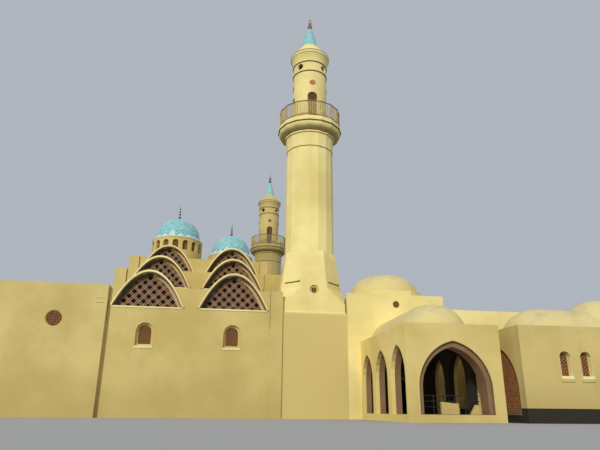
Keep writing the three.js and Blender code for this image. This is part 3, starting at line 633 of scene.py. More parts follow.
class Paints:
    """All finishes of the building, made once."""

    def __init__(self, colours):
        stucco, bright = tuple(colours.stucco), tuple(colours.bright)
        self.stucco = wall_paint("ochre_stucco", stucco, inside=True)
        self.bright = wall_paint("bright_stucco", bright, dirt=0.5, inside=True)
        self.tower_base = wall_paint("tower_base_stucco", bright, dirt=0.6, low_colour=stucco)
        # The balcony takes a larger share of painted shade under its corbel and torus
        self.balcony = wall_paint("streaked_stucco_with_painted_shade", bright, dirt=1.3, under=0.65)
        self.porch = wall_paint("porch_stucco", tinted(stucco, 1.09), dirt=0.7, inside=True)
        # Painted light: the porch's left wall takes a lighter copy of the stucco, to look as lit as its front
        self.porch_side_lit = wall_paint("porch_side_stucco_painted_light", tinted(stucco, 1.36), dirt=0.5, inside=True)
        self.wing = wall_paint("wing_stucco", tinted(stucco, 0.96), dirt=1.6, inside=True)
        # Painted light: the right wing's left wall, in shade, takes a lighter copy of the stucco
        self.wing_side_lit = wall_paint("wing_side_stucco_painted_light", tinted(stucco, 1.08), dirt=1.2, inside=True)
        # A darker copy of the stucco for the back minaret, and a less dark one for its lantern
        self.back_tower = wall_paint("back_tower_stucco", tinted(stucco, 0.76))
        self.back_tower_top = wall_paint("back_tower_top_stucco", tinted(stucco, 0.95))
        self.trim = wall_paint("cream_trim", tuple(colours.trim), dirt=0.3)
        self.low_wall = wall_paint("low_wall_stucco", stucco, dirt=0.5)
        self.shell = shell_paint("cream_shell", tuple(colours.shell))
        self.peach = plain_paint("peach_lining", tuple(colours.lining), 0.85, scale=0.8)
        self.rose = plain_paint("rose_reveal", tuple(colours.rose), 0.85, wear=0.2, scale=0.8, inside=True)
        # Painted shade: the linings' left half, where the hood's shadow falls
        self.left_lining_shade = plain_paint("left_lining_painted_shade", (0.15, 0.095, 0.045), 0.9, wear=0.4, scale=0.8)
        # Painted shade of the soffits under the hoods
        self.soffit_shade = plain_paint("soffit_painted_shade", (0.20, 0.155, 0.065), 0.9, wear=0.4, scale=0.8)
        self.terracotta = plain_paint("terracotta_lattice", tuple(colours.terracotta), 0.8, wear=0.4,
                                      scale=0.9)
        self.pale_strip = plain_paint("pale_lattice_strip", tuple(colours.strip), 0.75)
        self.brown = plain_paint("brown_screen", tuple(colours.brown), 0.7, wear=0.35)
        self.screen = plain_paint("peach_screen", tuple(colours.screen), 0.75, wear=0.3)
        # Painted shade: near black for the glass and brown black for the panes, standing for the dark rooms
        # behind
        self.dark = plain_paint("void_painted_shade", (0.012, 0.013, 0.012), 0.7, wear=0.3, shine=0.1)
        self.pane_shade = plain_paint("brown_void_painted_shade", (0.05, 0.022, 0.012), 0.7, wear=0.3, shine=0.1)
        # Painted shade: the rails are pale paint, drawn dark as their shaded undersides look
        self.rail_shade = plain_paint("rail_painted_shade", (0.16, 0.12, 0.05), 0.7, wear=0.3)
        self.baluster = plain_paint("pale_baluster", (0.66, 0.52, 0.20), 0.8, wear=0.4)
        self.door = plain_paint("ochre_door", (0.50, 0.36, 0.12), 0.8, wear=0.3)
        # Painted shadow: dark lines under rings and edges, in slots, and in the gaps at the tiers' ends
        self.shadow = plain_paint("painted_shadow_and_joint", (0.10, 0.085, 0.05), 0.9, wear=0.3)
        self.tile = tile_glaze("turquoise_tile", 30.0, 10.0)
        self.spire = tile_glaze("pale_turquoise_tile", 10.0, 8.0, pale_by=0.4)
        self.net = plain_paint("pale_tile_rib", linear((0.78, 0.92, 0.92)), 0.5, wear=0.15)
        self.white = plain_paint("white_scallop", linear((0.93, 0.93, 0.86)), 0.8, wear=0.12)
        self.gold = plain_paint("dark_gold", (0.20, 0.13, 0.08), 0.5, metallic=0.5)
        self.rose_gold = plain_paint("rose_gold", (0.62, 0.36, 0.28), 0.4, metallic=0.4)
        self.black = plain_paint("black_rail", (0.02, 0.02, 0.022), 0.5)
        self.roof = roof_felt("grey_slab")


PAINTS = {}


def paints(context):
    """The finishes, made from the scene's colours at first use."""
    if "all" not in PAINTS:
        PAINTS["all"] = Paints(context.scene.mosque_colours)
    return PAINTS["all"]


class MosqueSizes(bpy.types.PropertyGroup):
    """Sizes that a user would change, in metres of the building."""

    lattice_pitch: FloatProperty(
        name="Lattice pitch", description="Spacing of the large lattices' bands",
        default=0.706, min=0.3, unit="LENGTH")
    band_width: FloatProperty(
        name="Band width", description="Width of a band of the large lattices",
        default=0.26, min=0.05, unit="LENGTH")
    lattice_depth: FloatProperty(
        name="Lattice set-back", description="How far lattices stand behind the wall's face",
        default=0.6, min=0.0, unit="LENGTH")
    screen_pitch: FloatProperty(
        name="Screen pitch", description="Spacing of the small screens' bars",
        default=0.215, min=0.05, unit="LENGTH")
    balusters: IntProperty(
        name="Balusters", description="Balusters in one side of a balcony's railing", default=5, min=1)


class MosqueColours(bpy.types.PropertyGroup):
    """Paint colours, as linear light."""

    stucco: FloatVectorProperty(
        name="Stucco", description="Ochre paint of the walls",
        subtype="COLOR", default=(0.685, 0.54, 0.198), min=0, max=1)
    bright: FloatVectorProperty(
        name="Bright stucco", description="Cleaner paint of the towers and the entrance",
        subtype="COLOR", default=(0.95, 0.80, 0.33), min=0, max=1)
    trim: FloatVectorProperty(
        name="Trim", description="Cream paint of hoods and sills",
        subtype="COLOR", default=(0.96, 0.83, 0.40), min=0, max=1)
    shell: FloatVectorProperty(
        name="Shell", description="Paint of the low domes",
        subtype="COLOR", default=(0.78, 0.65, 0.28), min=0, max=1)
    lining: FloatVectorProperty(
        name="Lining", description="Peach paint under the stepped arches' hoods",
        subtype="COLOR", default=(0.72, 0.46, 0.24), min=0, max=1)
    rose: FloatVectorProperty(
        name="Reveal", description="Rose paint in the reveals of arches",
        subtype="COLOR", default=(0.295, 0.175, 0.077), min=0, max=1)
    terracotta: FloatVectorProperty(
        name="Lattice", description="Terracotta of the large lattices",
        subtype="COLOR", default=(0.32, 0.085, 0.028), min=0, max=1)
    strip: FloatVectorProperty(
        name="Strips", description="Pale strips on the large lattices",
        subtype="COLOR", default=(0.60, 0.42, 0.24), min=0, max=1)
    brown: FloatVectorProperty(
        name="Screens", description="Brown of doors and small screens",
        subtype="COLOR", default=(0.34, 0.125, 0.05), min=0, max=1)
    screen: FloatVectorProperty(
        name="Screen bars", description="Bars of the small windows' screens",
        subtype="COLOR", default=(0.52, 0.225, 0.075), min=0, max=1)


class PieceOperator:
    """Shared by all operators of this file: a step that builds its pieces and finishes."""

    bl_options = {"REGISTER", "UNDO"}

    def execute(self, context):
        self.build(context.scene.mosque_sizes, paints(context))
        return {"FINISHED"}


# Paints of the frame's own pieces: the first pattern that a name matches names its paint
NODE_PAINTS = (
    (r"(roof|floor)$", "roof"),
    # Glass is painted near black, as shade of the rooms behind it
    (r"glass$", "dark"),
    (r"^back_minaret", "back_tower"),
    (r"minaret_base$", "tower_base"),
    (r"minaret|range|vestibule", "bright"),
    # The porch's left wall gets the painted light
    (r"^porch_left_wall$", "porch_side_lit"),
    (r"^porch", "porch"),
    (r"^side_wing_left_wall$", "wing_side_lit"),
    (r"^side_wing", "wing"),
    (r"", "stucco"),
)


class MOSQUE_OT_walls(PieceOperator, bpy.types.Operator):
    """Paints the frame's own walls, tiers, towers, roofs and floors"""

    bl_idname = "mosque.walls"
    bl_label = "Paint walls and roofs"

    def build(self, sizes, paint):
        for name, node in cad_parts.items():
            kind = next(kind for pattern, kind in NODE_PAINTS if re.search(pattern, name))
            node.data.materials.clear()
            node.data.materials.append(getattr(paint, kind))


def stepped_arch(wall, sill, sizes):
    """One large arched window: lattice bars with a strip along both edges of every band, a lining under the
    arch whose left half, past its crown, is painted shade, a soffit in painted shade, the hood and the sill."""
    half, rise, back, strip = ARCH["half"], ARCH["rise"], -sizes.lattice_depth, 0.045
    inner = tympanum_outline(half - 0.42, sill, rise - 0.34)
    lined = tympanum_outline(half - 0.06, sill, rise - 0.07)
    edge = tympanum_outline(half + 0.05, sill, rise + 0.07)
    outer = tympanum_outline(half + 0.20, sill, rise + 0.28)
    crown = len(inner) // 2 - 1
    pitch, spread = sizes.lattice_pitch, sizes.band_width - strip
    return {
        "lattice": lattice(wall, lined, pitch, 0.10, back - 0.03, back),
        "strips": fine_lattice(wall, lined, pitch, spread, strip, back, back + 0.02),
        "linings": open_band(wall, inner[:crown], lined[:crown], back - 0.05, back + 0.05),
        "stained_linings": open_band(wall, inner[crown - 1:], lined[crown - 1:], back - 0.05, back + 0.05),
        "soffits": open_band(wall, lined, edge, back - 0.05, 0.15),
        "hoods": open_band(wall, edge, outer, 0.1, 0.16),
        "sills": boxes(wall, [[-half - 0.12, sill - 0.15, 0.0], [-half + 0.1, sill - 0.12, back]],
                       [[half + 0.12, sill, 0.07], [half - 0.1, sill + 0.02, 0.0]]),
    }


class MOSQUE_OT_tympana(PieceOperator, bpy.types.Operator):
    """Large lattices, borders, hoods and sills of the stepped arches, front and back"""

    bl_idname = "mosque.tympana"
    bl_label = "Stepped arches"

    def build(self, sizes, paint):
        finishes = {
            "lattice": (paint.terracotta, 0),
            "strips": (paint.pale_strip, 0),
            "linings": (paint.peach, 30),
            # The linings' left half and the soffits are painted shade
            "stained_linings": (paint.left_lining_shade, 30),
            "soffits": (paint.soffit_shade, 30),
            "hoods": (paint.trim, 30),
            "sills": (paint.trim, 0),
        }
        for side in SIDES:
            for tier, label in enumerate(TIERS):
                y, sill = at_side(side, tier * BAY), ARCH["foot"] + tier * TIER_STEP
                arches = [stepped_arch(Wall(x, y, side), sill, sizes) for x in COLUMNS]
                for part, (material, smooth_below) in finishes.items():
                    shape = joined([arch[part] for arch in arches])
                    add_piece(f"{side}_{label}_arches_{part}", shape, material, smooth_below)


def window_fill(wall, outline, sizes, rim_depth, rim, screen_depth):
    """For one small window: a flat rim a little behind the wall's face, a fine screen and a dark pane,
    painted shade of the room behind.
    """
    inner = grown(outline, -rim)
    pitch = sizes.screen_pitch
    screen = lattice(wall, inner, pitch, 0.28 * pitch, -screen_depth - 0.04, -screen_depth)
    edge = band(wall, inner, outline, -screen_depth - 0.12, -rim_depth)
    pane = plate(wall, grown(inner, 0.02), -screen_depth - 0.11, -screen_depth - 0.07)
    return screen, edge, pane


def add_windows(group, fills, paint):
    """Joins the screens, rims and panes of a group of windows into three pieces."""
    screens, rims, panes = zip(*fills)
    add_piece(f"{group}_window_screens", joined(screens), paint.screen)
    add_piece(f"{group}_window_rims", joined(rims), paint.porch, 30)
    add_piece(f"{group}_window_panes", joined(panes), paint.pane_shade)


def row_of_walls(x, facing, margin, count):
    """The middles of equal bays along a side wall that keeps a margin to the hall's front and back."""
    first, step = margin + GAP, (HALL_DEPTH - 2 * (margin + GAP)) / count
    return [Wall(x, first + (i + 0.5) * step, facing) for i in range(count)]


class MOSQUE_OT_windows(PieceOperator, bpy.types.Operator):
    """Screens, rims and sills of the small windows of the hall, the wings and the side walls"""

    bl_idname = "mosque.windows"
    bl_label = "Small windows"

    def build(self, sizes, paint):
        arched, slim = round_head_outline(**HALL_WINDOW), round_head_outline(**WING_WINDOW)
        hall = [Wall(x, at_side(side, 0), side) for x in COLUMNS for side in SIDES]
        wing = [Wall(SIDE_WING["middle"] + 5.6 * bay + 0.95 * pair, SIDE_WING["front"], "front")
                for bay in (-1, 0, 1) for pair in (-1, 1)]
        reveals = [band(wall, grown(slim, -0.02), slim, -0.4, 0.0) for wall in wing]
        add_piece("side_wing_window_reveals", joined(reveals), paint.trim, 30)
        arched_depths, slim_depths = (0.38, 0.24, 0.45), (0.4, 0.05, 0.43)
        west, east = row_of_walls(WING_END, "left", -0.1, 7), row_of_walls(EAST_END, "right", 6.8, 5)
        groups = (("hall", hall, arched, arched_depths, 0.07, 0.0),
                  ("west_wall", west, arched, arched_depths, 0.0, 0.0),
                  ("east_wall", east, arched, arched_depths, 0.0, 0.0),
                  ("side_wing", wing, slim, slim_depths, 0.075, 0.22))
        for group, walls, outline, depths, out, raised in groups:
            add_windows(group, [window_fill(wall, outline, sizes, *depths) for wall in walls], paint)
            if out > 0:
                self.add_sills(group, walls, outline, out, raised, paint)

    def add_sills(self, group, walls, outline, out, raised, paint):
        """A sill that stands out of the wall, a step inside the opening, and a block on them if raised."""
        reach, low = outline[:, 0].max() + 0.04, outline[:, 1].min()
        parts = [([-reach, low - 0.2, -0.05], [reach, low + 0.01, out]),
                 ([-reach + 0.06, low - 0.05, -0.42], [reach - 0.06, low + 0.03, 0.0])]
        if raised > 0:
            parts.append(([-reach, low + 0.012, -0.38], [reach, low + raised, out + 0.003]))
        sills = [boxes(wall, start, end) for start, end in parts for wall in walls]
        add_piece(f"{group}_window_sills", joined(sills), paint.trim)


class MOSQUE_OT_round_windows(PieceOperator, bpy.types.Operator):
    """Round lattice windows of the wings, the vestibules and the towers' plinths"""

    bl_idname = "mosque.round_windows"
    bl_label = "Round windows"

    def build(self, sizes, paint):
        # Each kind: x, distance back, radius, height, then the rim's depth, its width and the screen's depth
        kinds = [(x, WING_FRONT, 0.85, 9.27, (0.1, 0.1, 0.2)) for x in ROUND_WINDOWS]
        kinds.append((VESTIBULE["x"], 0, 0.4, 12.05, (0.03, 0.03, 0.08)))
        kinds.append((MINARETS["front"][0], PLINTH["front"], 0.55, 13.4, (0.2, 0.24, 0.26)))
        fills = [window_fill(Wall(x, at_side(side, y), side), circle_outline(radius, height), sizes, *depths)
                 for side in SIDES for x, y, radius, height, depths in kinds]
        add_windows("round", fills, paint)


def dome_curve(radius, base, rise, steps=28):
    """Radius falls as the cosine to the power 0.92, height grows as the sine to the power 0.96."""
    angle = np.linspace(0, math.pi / 2, steps)
    width = radius * np.cos(angle) ** 0.92
    width[-1] = 0
    return np.stack([width, base + rise * np.sin(angle) ** 0.96], 1)


def finial_curve(foot, height, knobs, stalk=0.045):
    """A stalk that thins out, plus one hump at each knob's height, shaped as a half ellipse."""
    part = np.linspace(0, 1, 110)
    radius = stalk * (1 - part) + 0.012
    for centre, size, spread in knobs:
        radius = radius + size * np.sqrt(np.clip(1 - ((part - centre) / spread) ** 2, 0, 1))
    radius[-1] = 0
    return np.stack([np.concatenate([[0], radius]), foot + height * np.concatenate([[-0.03], part])], 1)


# Knobs of the finials: height as a share of the finial's, size in metres, and spread as a share again
DOME_KNOBS = ((0.03, 0.24, 0.03), (0.16, 0.2, 0.045), (0.33, 0.17, 0.04), (0.48, 0.13, 0.035),
              (0.62, 0.1, 0.03))
SPIRE_KNOBS = ((0.05, 0.26, 0.035), (0.15, 0.24, 0.03), (0.33, 0.2, 0.09), (0.5, 0.1, 0.03))


def add_uv(piece, x, y, base, rise):
    """UV map of a dome or a spire: u is the share of a turn around the axis, v goes from foot to crown. A
    face across the seam takes u from its lower side."""
    mesh = piece.data
    layer = mesh.uv_layers.new(name="UVMap")
    loops = np.empty(len(mesh.loops), np.int32)
    mesh.loops.foreach_get("vertex_index", loops)
    points = np.empty(len(mesh.vertices) * 3)
    mesh.vertices.foreach_get("co", points)
    points = points.reshape(-1, 3) / METRE + PLAN_CENTRE
    around = np.arctan2(points[:, 1] - y, points[:, 0] - x) / (2 * math.pi)
    up = (points[:, 2] - base) / rise
    totals = np.empty(len(mesh.polygons), np.int32)
    mesh.polygons.foreach_get("loop_total", totals)
    face_of_loop = np.repeat(np.arange(len(totals)), totals)
    value = around[loops]
    lowest = np.full(len(totals), np.inf)
    np.minimum.at(lowest, face_of_loop, value)
    value = np.where(value - lowest[face_of_loop] > 0.5, value - 1, value)
    layer.data.foreach_set("uv", np.stack([value, up[loops]], 1).ravel())


def rib_net(curve, x, y, count, turns, width, height):
    """Slanting ribs over a dome: each starts at an equal angle and turns evenly while it climbs its curve."""
    part = np.linspace(0, 0.96, 36)
    radius = np.interp(part, np.linspace(0, 1, len(curve)), curve[:, 0])
    level = np.interp(part, np.linspace(0, 1, len(curve)), curve[:, 1])
    shapes = []
    for sense in (-1, 1):
        start = np.arange(count)[:, None] * 2 * math.pi / count
        angle = start + sense * turns * 2 * math.pi * part[None]
        half_angle = width / 2 / np.maximum(radius, 0.25)
        rows = []
        for lift, swing in ((-height, -1), (height, -1), (height, 1), (-height, 1)):
            reach = radius + lift
            turn = angle + swing * half_angle
            rows.append(np.stack([x + reach * np.cos(turn), y + reach * np.sin(turn),
                                  np.broadcast_to(level + lift * 0.7, turn.shape)], -1))
        grid = np.stack(rows, 2)
        caps = np.repeat(grid.mean(2, keepdims=True), 4, 2)
        grid = np.concatenate([caps[:, :1], grid, caps[:, -1:]], 1)
        shapes += [sheet(place(rib), close_v=True) for rib in grid]
    return joined(shapes)


def scallops(x, y, radius, foot, height, count):
    """A collar whose upper edge rises in a pointed wave at each of count places and rests between them."""
    thick = 0.05
    angle = np.linspace(0, 2 * math.pi, count * 12, endpoint=False)
    petal = (1 - np.abs(np.sin(angle * count / 2))) ** 0.8
    top = foot + height * (0.3 + 0.7 * petal)
    lean = radius - 0.75 * (top - foot)
    rows = []
    low = np.full_like(top, foot)
    for reach, level in ((radius, low), (lean + thick, top), (lean - thick, top - thick),
                         (radius - 3 * thick, low)):
        rows.append(np.stack([x + reach * np.cos(angle), y + reach * np.sin(angle), level], 1))
    return sheet(place(np.stack(rows, 1)), close_u=True, close_v=True)


def cross(first, second):
    """Cross product of two rows of flat vectors."""
    return first[..., 0] * second[..., 1] - first[..., 1] * second[..., 0]


def reach_to_outline(edge, ray):
    """How far rays from the middle run to a closed outline. With e a corner and r the run to the next one,
    a ray d meets the line at (e x r) / (d x r), where the share of the run, (e x d) / (d x r), is 0 to 1."""
    run = np.roll(edge, -1, 0) - edge
    edge, run, ray = edge[None], run[None], ray[:, None]
    slant = cross(ray, run)
    slant = np.where(np.abs(slant) < 1e-9, 1e-9, slant)
    reach, share = cross(edge, run) / slant, cross(edge, ray) / slant
    hits = (share > -1e-6) & (share < 1 + 1e-6) & (reach > 0)
    return np.where(hits, reach, np.inf).min(1)


def pierced_ring(x, y, outer, inner, low, high, outline, count, offset=0.0):
    """Round wall with the same opening in each of count bays. From the opening's middle, rays at many angles
    meet its outline and the bay's rectangle, and points between the two lie at equal parts of each ray."""
    middle = outline.mean(0)
    half_bay = math.pi * outer / count
    edge = outline - middle
    corners = np.array([(a, b) for a in (-half_bay, half_bay) for b in (low - middle[1], high - middle[1])])
    marks = np.concatenate([edge, corners])
    angle = np.concatenate([np.arctan2(marks[:, 1], marks[:, 0]), np.linspace(-math.pi, math.pi, 49)[1:]])
    angle = np.unique(np.round(angle, 6))
    ray = np.stack([np.cos(angle), np.sin(angle)], 1)
    hole = reach_to_outline(edge, ray)
    with np.errstate(divide="ignore"):
        across = np.where(np.abs(ray[:, 0]) > 1e-9, half_bay / np.abs(ray[:, 0]), np.inf)
        upward = np.where(ray[:, 1] > 1e-9, (high - middle[1]) / ray[:, 1], np.inf)
        downward = np.where(ray[:, 1] < -1e-9, (low - middle[1]) / ray[:, 1], np.inf)
    bay = np.minimum(across, np.minimum(upward, downward))
    mix = np.linspace(0, 1, 8)
    length = hole[:, None] * (1 - mix) + bay[:, None] * mix
    flat = middle + ray[:, None] * length[..., None]
    turn = flat[..., 0] / outer
    shapes = []
    on_edge = np.isclose(bay, upward) | np.isclose(bay, downward)
    for i in range(count):
        at = turn + offset + i * 2 * math.pi / count
        skins = [place(np.stack([x + r * np.cos(at), y + r * np.sin(at), flat[..., 1]], -1))
                 for r in (outer, inner)]
        shapes += [sheet(skin, close_u=True) for skin in skins]
        shapes.append(sheet(np.stack([skins[0][:, 0], skins[1][:, 0]], 1), close_u=True))
        points, quads = sheet(np.stack([skins[0][:, -1], skins[1][:, -1]], 1), close_u=True)
        shapes.append((points, quads[on_edge & np.roll(on_edge, -1)]))
    return joined(shapes)


def stadium_shell(half, base, rise, thick, start, end, rounded):
    """Barrel vault along its second coordinate, in metres. Each level is a ring of two straight sides and
    two ends, whose width shrinks to the crown as a dome's does. Ends bulge into half circles if rounded."""
    def rings(half, rise):
        """One skin: at each height of a dome's curve, a ring whose half width is the curve's radius."""
        curve = dome_curve(half, base, rise, 24)
        turn = np.linspace(0, math.pi, 33)
        side = np.linspace(0, 1, 12)[1:-1]
        radius = curve[:, :1]
        far = [radius * np.cos(turn), end + rounded[1] * radius * np.sin(turn)]
        near = [-radius * np.cos(turn), start - rounded[0] * radius * np.sin(turn)]
        left = [-radius + 0 * side, end + (start - end) * side + 0 * radius]
        right = [radius + 0 * side, start + (end - start) * side + 0 * radius]
        flat = [np.concatenate([far[i], left[i], near[i], right[i]], 1) for i in (0, 1)]
        return np.stack([flat[0], flat[1], np.broadcast_to(curve[:, 1:], flat[0].shape)], -1)
    outer, inner = rings(half, rise), rings(half - thick, rise - thick)
    return np.concatenate([outer[::-1], inner])


class MOSQUE_OT_tiled_domes(PieceOperator, bpy.types.Operator):
    """Turquoise domes with ribs, white scallops and finials, and the pierced drum under the left one"""

    bl_idname = "mosque.tiled_domes"
    bl_label = "Tiled domes"

    def build(self, sizes, paint):
        for label, dome in DOMES.items():
            x, base, radius, rise = dome["x"], dome["base"], dome["radius"], dome["rise"]
            foot = base + DOME_INSET
            curve = dome_curve(radius - DOME_INSET, foot, rise - DOME_INSET)
            shoulder = [(0, base), (radius, base), (radius - 0.03, base + 0.1)]
            shell = add_piece(f"{label}_tiled_dome", turned(np.concatenate([shoulder, curve]), x, MIDDLE, 96),
                              paint.tile, 40, replaces=(f"{label}_dome",))
            add_uv(shell, x, MIDDLE, foot, rise - DOME_INSET)
            net = rib_net(curve, x, MIDDLE, dome["ribs"], **RIBS)
            add_piece(f"{label}_dome_ribs", net, paint.net)
            collar = scallops(x, MIDDLE, radius - 0.01, base, **SCALLOPS)
            add_piece(f"{label}_dome_scallops", collar, paint.white, 50)
            finial = finial_curve(base + rise, dome["finial"], DOME_KNOBS)
            add_piece(f"{label}_dome_finial", turned(finial, x, MIDDLE, 20), paint.gold, 40)
        self.drum(sizes, paint)

    def drum(self, sizes, paint):
        """An eight-sided ledge, a round wall with its windows and a thin cap."""
        x, foot, ledge, top = DOMES["west"]["x"], DRUM["foot"], DRUM["ledge"], DRUM["top"]
        radius, inner, count = DRUM["radius"], DRUM["radius"] - DRUM["thick"], DRUM["windows"]
        head, cap_foot = top - 0.45, top - 0.12
        outline = round_head_outline(0.48, head - 1.6, head, 16)
        profile = [(0, foot), (4.46, foot), (4.46, ledge - 0.05), (4.38, ledge), (0, ledge)]
        ring = turned(profile, x, MIDDLE, 8, math.pi / 8)
        wall = pierced_ring(x, MIDDLE, radius, inner, ledge, cap_foot, outline, count)
        cap = turned(square_profile(inner, radius + 0.05, cap_foot, top), x, MIDDLE, 96)
        add_piece("west_drum_wall", joined([ring, wall, cap]), paint.stucco, 30,
                  replaces=("west_drum",))
        walls = [Wall(x, MIDDLE, i * 2 * math.pi / count, radius - 0.05) for i in range(count)]
        add_windows("drum", [window_fill(wall, outline, sizes, 0.26, 0.05, 0.3) for wall in walls], paint)


class MOSQUE_OT_low_domes(PieceOperator, bpy.types.Operator):
    """Pale vaults and domes over the porch, the right wing and the vestibules"""

    bl_idname = "mosque.low_domes"
    bl_label = "Vaults and low domes"

    def build(self, sizes, paint):
        half, thick, middle = VAULT["half"], VAULT["thick"], SIDE_WING["middle"]
        start, reach = VAULT["porch_start"], VAULT["wing_reach"]
        porch = stadium_shell(half, DECK, VAULT["porch_rise"], thick, start, -GAP, (1, 0))
        porch[..., 0] += PORCH["middle"]
        add_piece("porch_vault_shell", sheet(place(porch), close_v=True), paint.shell, 40,
                  replaces=("porch_vault",))
        wing = stadium_shell(half, DECK, VAULT["wing_rise"], thick, middle - reach, middle + reach, (1, 1))
        wing = wing[..., [1, 0, 2]]
        wing[..., 1] += SIDE_WING["vault"]
        add_piece("side_wing_vault_shell", sheet(place(wing), close_v=True), paint.shell, 40,
                  replaces=("side_wing_left_vault", "side_wing_right_vault"))
        radius, rise = VAULT["dome_radius"], VAULT["dome_rise"]
        outer, inner = dome_curve(radius, DECK, rise), dome_curve(radius - thick, DECK, rise - thick)
        dome = turned(np.concatenate([outer[::-1], inner]), middle, SIDE_WING["vault"], 96)
        add_piece("side_wing_dome_shell", dome, paint.shell, 40, replaces=("side_wing_dome",))
        ledge, base = VESTIBULE["ledge"], VESTIBULE["base"]
        curve = dome_curve(VESTIBULE["radius"], base, VESTIBULE["rise"])
        rim = [(0, 13.56), (ledge - 0.04, 13.56), (ledge, 13.6), (ledge, base - 0.02),
               (ledge - 0.03, base + 0.02), (curve[0, 0], base + 0.02)]
        profile = np.concatenate([rim, curve[1:]])
        for side in SIDES:
            shape = turned(profile, VESTIBULE["x"], at_side(side, VESTIBULE["y"]), 96)
            add_piece(f"{side}_vestibule_shell", shape, paint.shell, 30)


class MOSQUE_OT_minarets(PieceOperator, bpy.types.Operator):
    """Balconies, lanterns, spires and small parts of both minarets"""

    bl_idname = "mosque.minarets"
    bl_label = "Minarets"

    def build(self, sizes, paint):
        for side, (x, y) in MINARETS.items():
            self.balcony(side, x, y, paint)
            self.railing(side, x, y, sizes, paint)
            self.lantern(side, x, y, paint)
            self.lantern_doors(side, x, y, paint)
            self.spire(side, x, y, paint)
            self.plinth(side, x, y, paint)

    def balcony(self, side, x, y, paint):
        """The corbel, a torus that bulges out of it, the deck with its edge, and painted shadow lines between
        them.
        """
        sides, turn = BALCONY["sides"], math.pi / BALCONY["sides"]
        foot, neck, deck = BALCONY["foot"], BALCONY["neck"], BALCONY["deck"]
        drum, bulge, level = BALCONY["drum"], BALCONY["bulge"], BALCONY["torus"]
        corbel = [(2.4, foot), (2.9, foot), (2.92, 31.9), (3.0, 32.9), (3.06, neck - 0.2), (3.2, neck - 0.18),
                  (3.22, neck), (drum, neck + 0.05)]
        angle = np.linspace(-math.pi / 2, 0.1, 12)
        torus = np.stack([drum + bulge * np.cos(angle), level + bulge * np.sin(angle)], 1)
        edge = [(4.05, 34.38), (4.05, 34.58), (3.97, 34.62), (3.93, 35.0), (3.84, 35.03), (3.78, 35.03),
                (3.76, deck), (1.62, deck), (1.62, level - 0.02), (2.4, level - 0.02), (2.4, foot)]
        shape = turned(np.concatenate([corbel, torus, edge]), x, y, sides, turn)
        skin = paint.balcony if side == "front" else paint.back_tower
        add_piece(f"{side}_balcony", shape, skin, 18, replaces=(f"{side}_minaret_balcony",))
        lines = (square_profile(3.95, 4.06, level + 0.04, level + 0.13),
                 square_profile(3.1, 3.2, neck, neck + 0.07),
                 square_profile(2.8, 2.94, foot - 0.043, foot + 0.037))
        shape = joined([turned(profile, x, y, sides, turn) for profile in lines])
        add_piece(f"{side}_balcony_lines", shape, paint.shadow)

    def railing(self, side, x, y, sizes, paint):
        """A handrail and a foot rail around the deck, posts at its corners and balusters on its sides."""
        sides, turn = BALCONY["sides"], math.pi / BALCONY["sides"]
        reach, low, top, width = RAILING["reach"], RAILING["foot"], RAILING["top"], RAILING["baluster"]
        handrail = [(3.77, top), (3.88, top), (3.9, 37.1), (3.86, 37.15), (3.78, 37.15), (3.77, top)]
        foot_rail = square_profile(3.79, 3.86, low + 0.2, low + 0.25)
        rails = [turned(profile, x, y, sides, turn) for profile in (handrail, foot_rail)]
        # The rails take the painted shade
        add_piece(f"{side}_rails", joined(rails), paint.rail_shade)
        share = (np.arange(sizes.balusters) + 1) / (sizes.balusters + 1) * 2 - 1
        left = reach * math.sin(turn) * share - width / 2
        bars_and_posts = []
        for i in range(sides):
            wall = Wall(x, y, 2 * i * turn, reach * math.cos(turn))
            bars_and_posts.append(uprights(wall, left, width, (low, top + 0.02), (-0.03, 0.03)))
            post = Wall(x, y, (2 * i + 1) * turn, reach)
            bars_and_posts.append(boxes(post, [-0.045, low, -0.06], [0.045, top + 0.06, 0.04]))
        add_piece(f"{side}_balusters", joined(bars_and_posts), paint.baluster)

    def lantern(self, side, x, y, paint):
        """The round wall with its doors and eyes, a cornice flaring with the power 1.7, and painted shadow
        lines at its rings.
        """
        foot, radius, inner = LANTERN["foot"], LANTERN["radius"], LANTERN["radius"] - LANTERN["thick"]
        middle, upper, crown = LANTERN["middle"], LANTERN["upper"], LANTERN["crown"]
        door = round_head_outline(LANTERN_DOOR["half"], foot + 0.02, LANTERN_DOOR["top"], 20)
        door[:, 0] *= 1 + 0.22 * np.clip((door[:, 1] - LANTERN_DOOR["widened"]) / 0.15, 0, 1)
        eye = circle_outline(0.45, 43.4, 32)
        neck = [(inner, middle), (radius, middle), (radius, 42.55), (2.26, 42.58), (2.26, 42.68),
                (radius, 42.7), (inner, 42.7), (inner, middle)]
        flare = np.linspace(0, 1, 10)
        cornice = np.stack([2.2 + 0.3 * flare ** 1.7, crown + 0.1 + 1.15 * flare], 1)
        top = np.concatenate([[(inner, crown), (2.26, crown), (2.26, crown + 0.08)], cornice,
                              [(2.57, 45.32), (2.57, 45.66), (2.5, 45.7), (1.03, SPIRE["base"]),
                               (0.0, SPIRE["base"]), (0.0, 45.9), (inner, crown)]])
        lines = [turned(square_profile(reach - 0.1, reach, low, low + 0.1), x, y, 96)
                 for reach, low in ((2.27, 42.55), (2.27, 43.99), (2.58, 45.58))]
        add_piece(f"{side}_lantern_lines", joined(lines), paint.shadow, 40)
        shape = joined([pierced_ring(x, y, radius, inner, foot, middle, door, 4),
                        pierced_ring(x, y, radius, inner, upper, 44.05, eye, 4, math.pi / 4),
                        turned(neck, x, y, 96), turned(top, x, y, 96)])
        add_piece(f"{side}_lantern", shape, paint.bright if side == "front" else paint.back_tower_top, 30,
                  replaces=(f"{side}_minaret_lantern",))

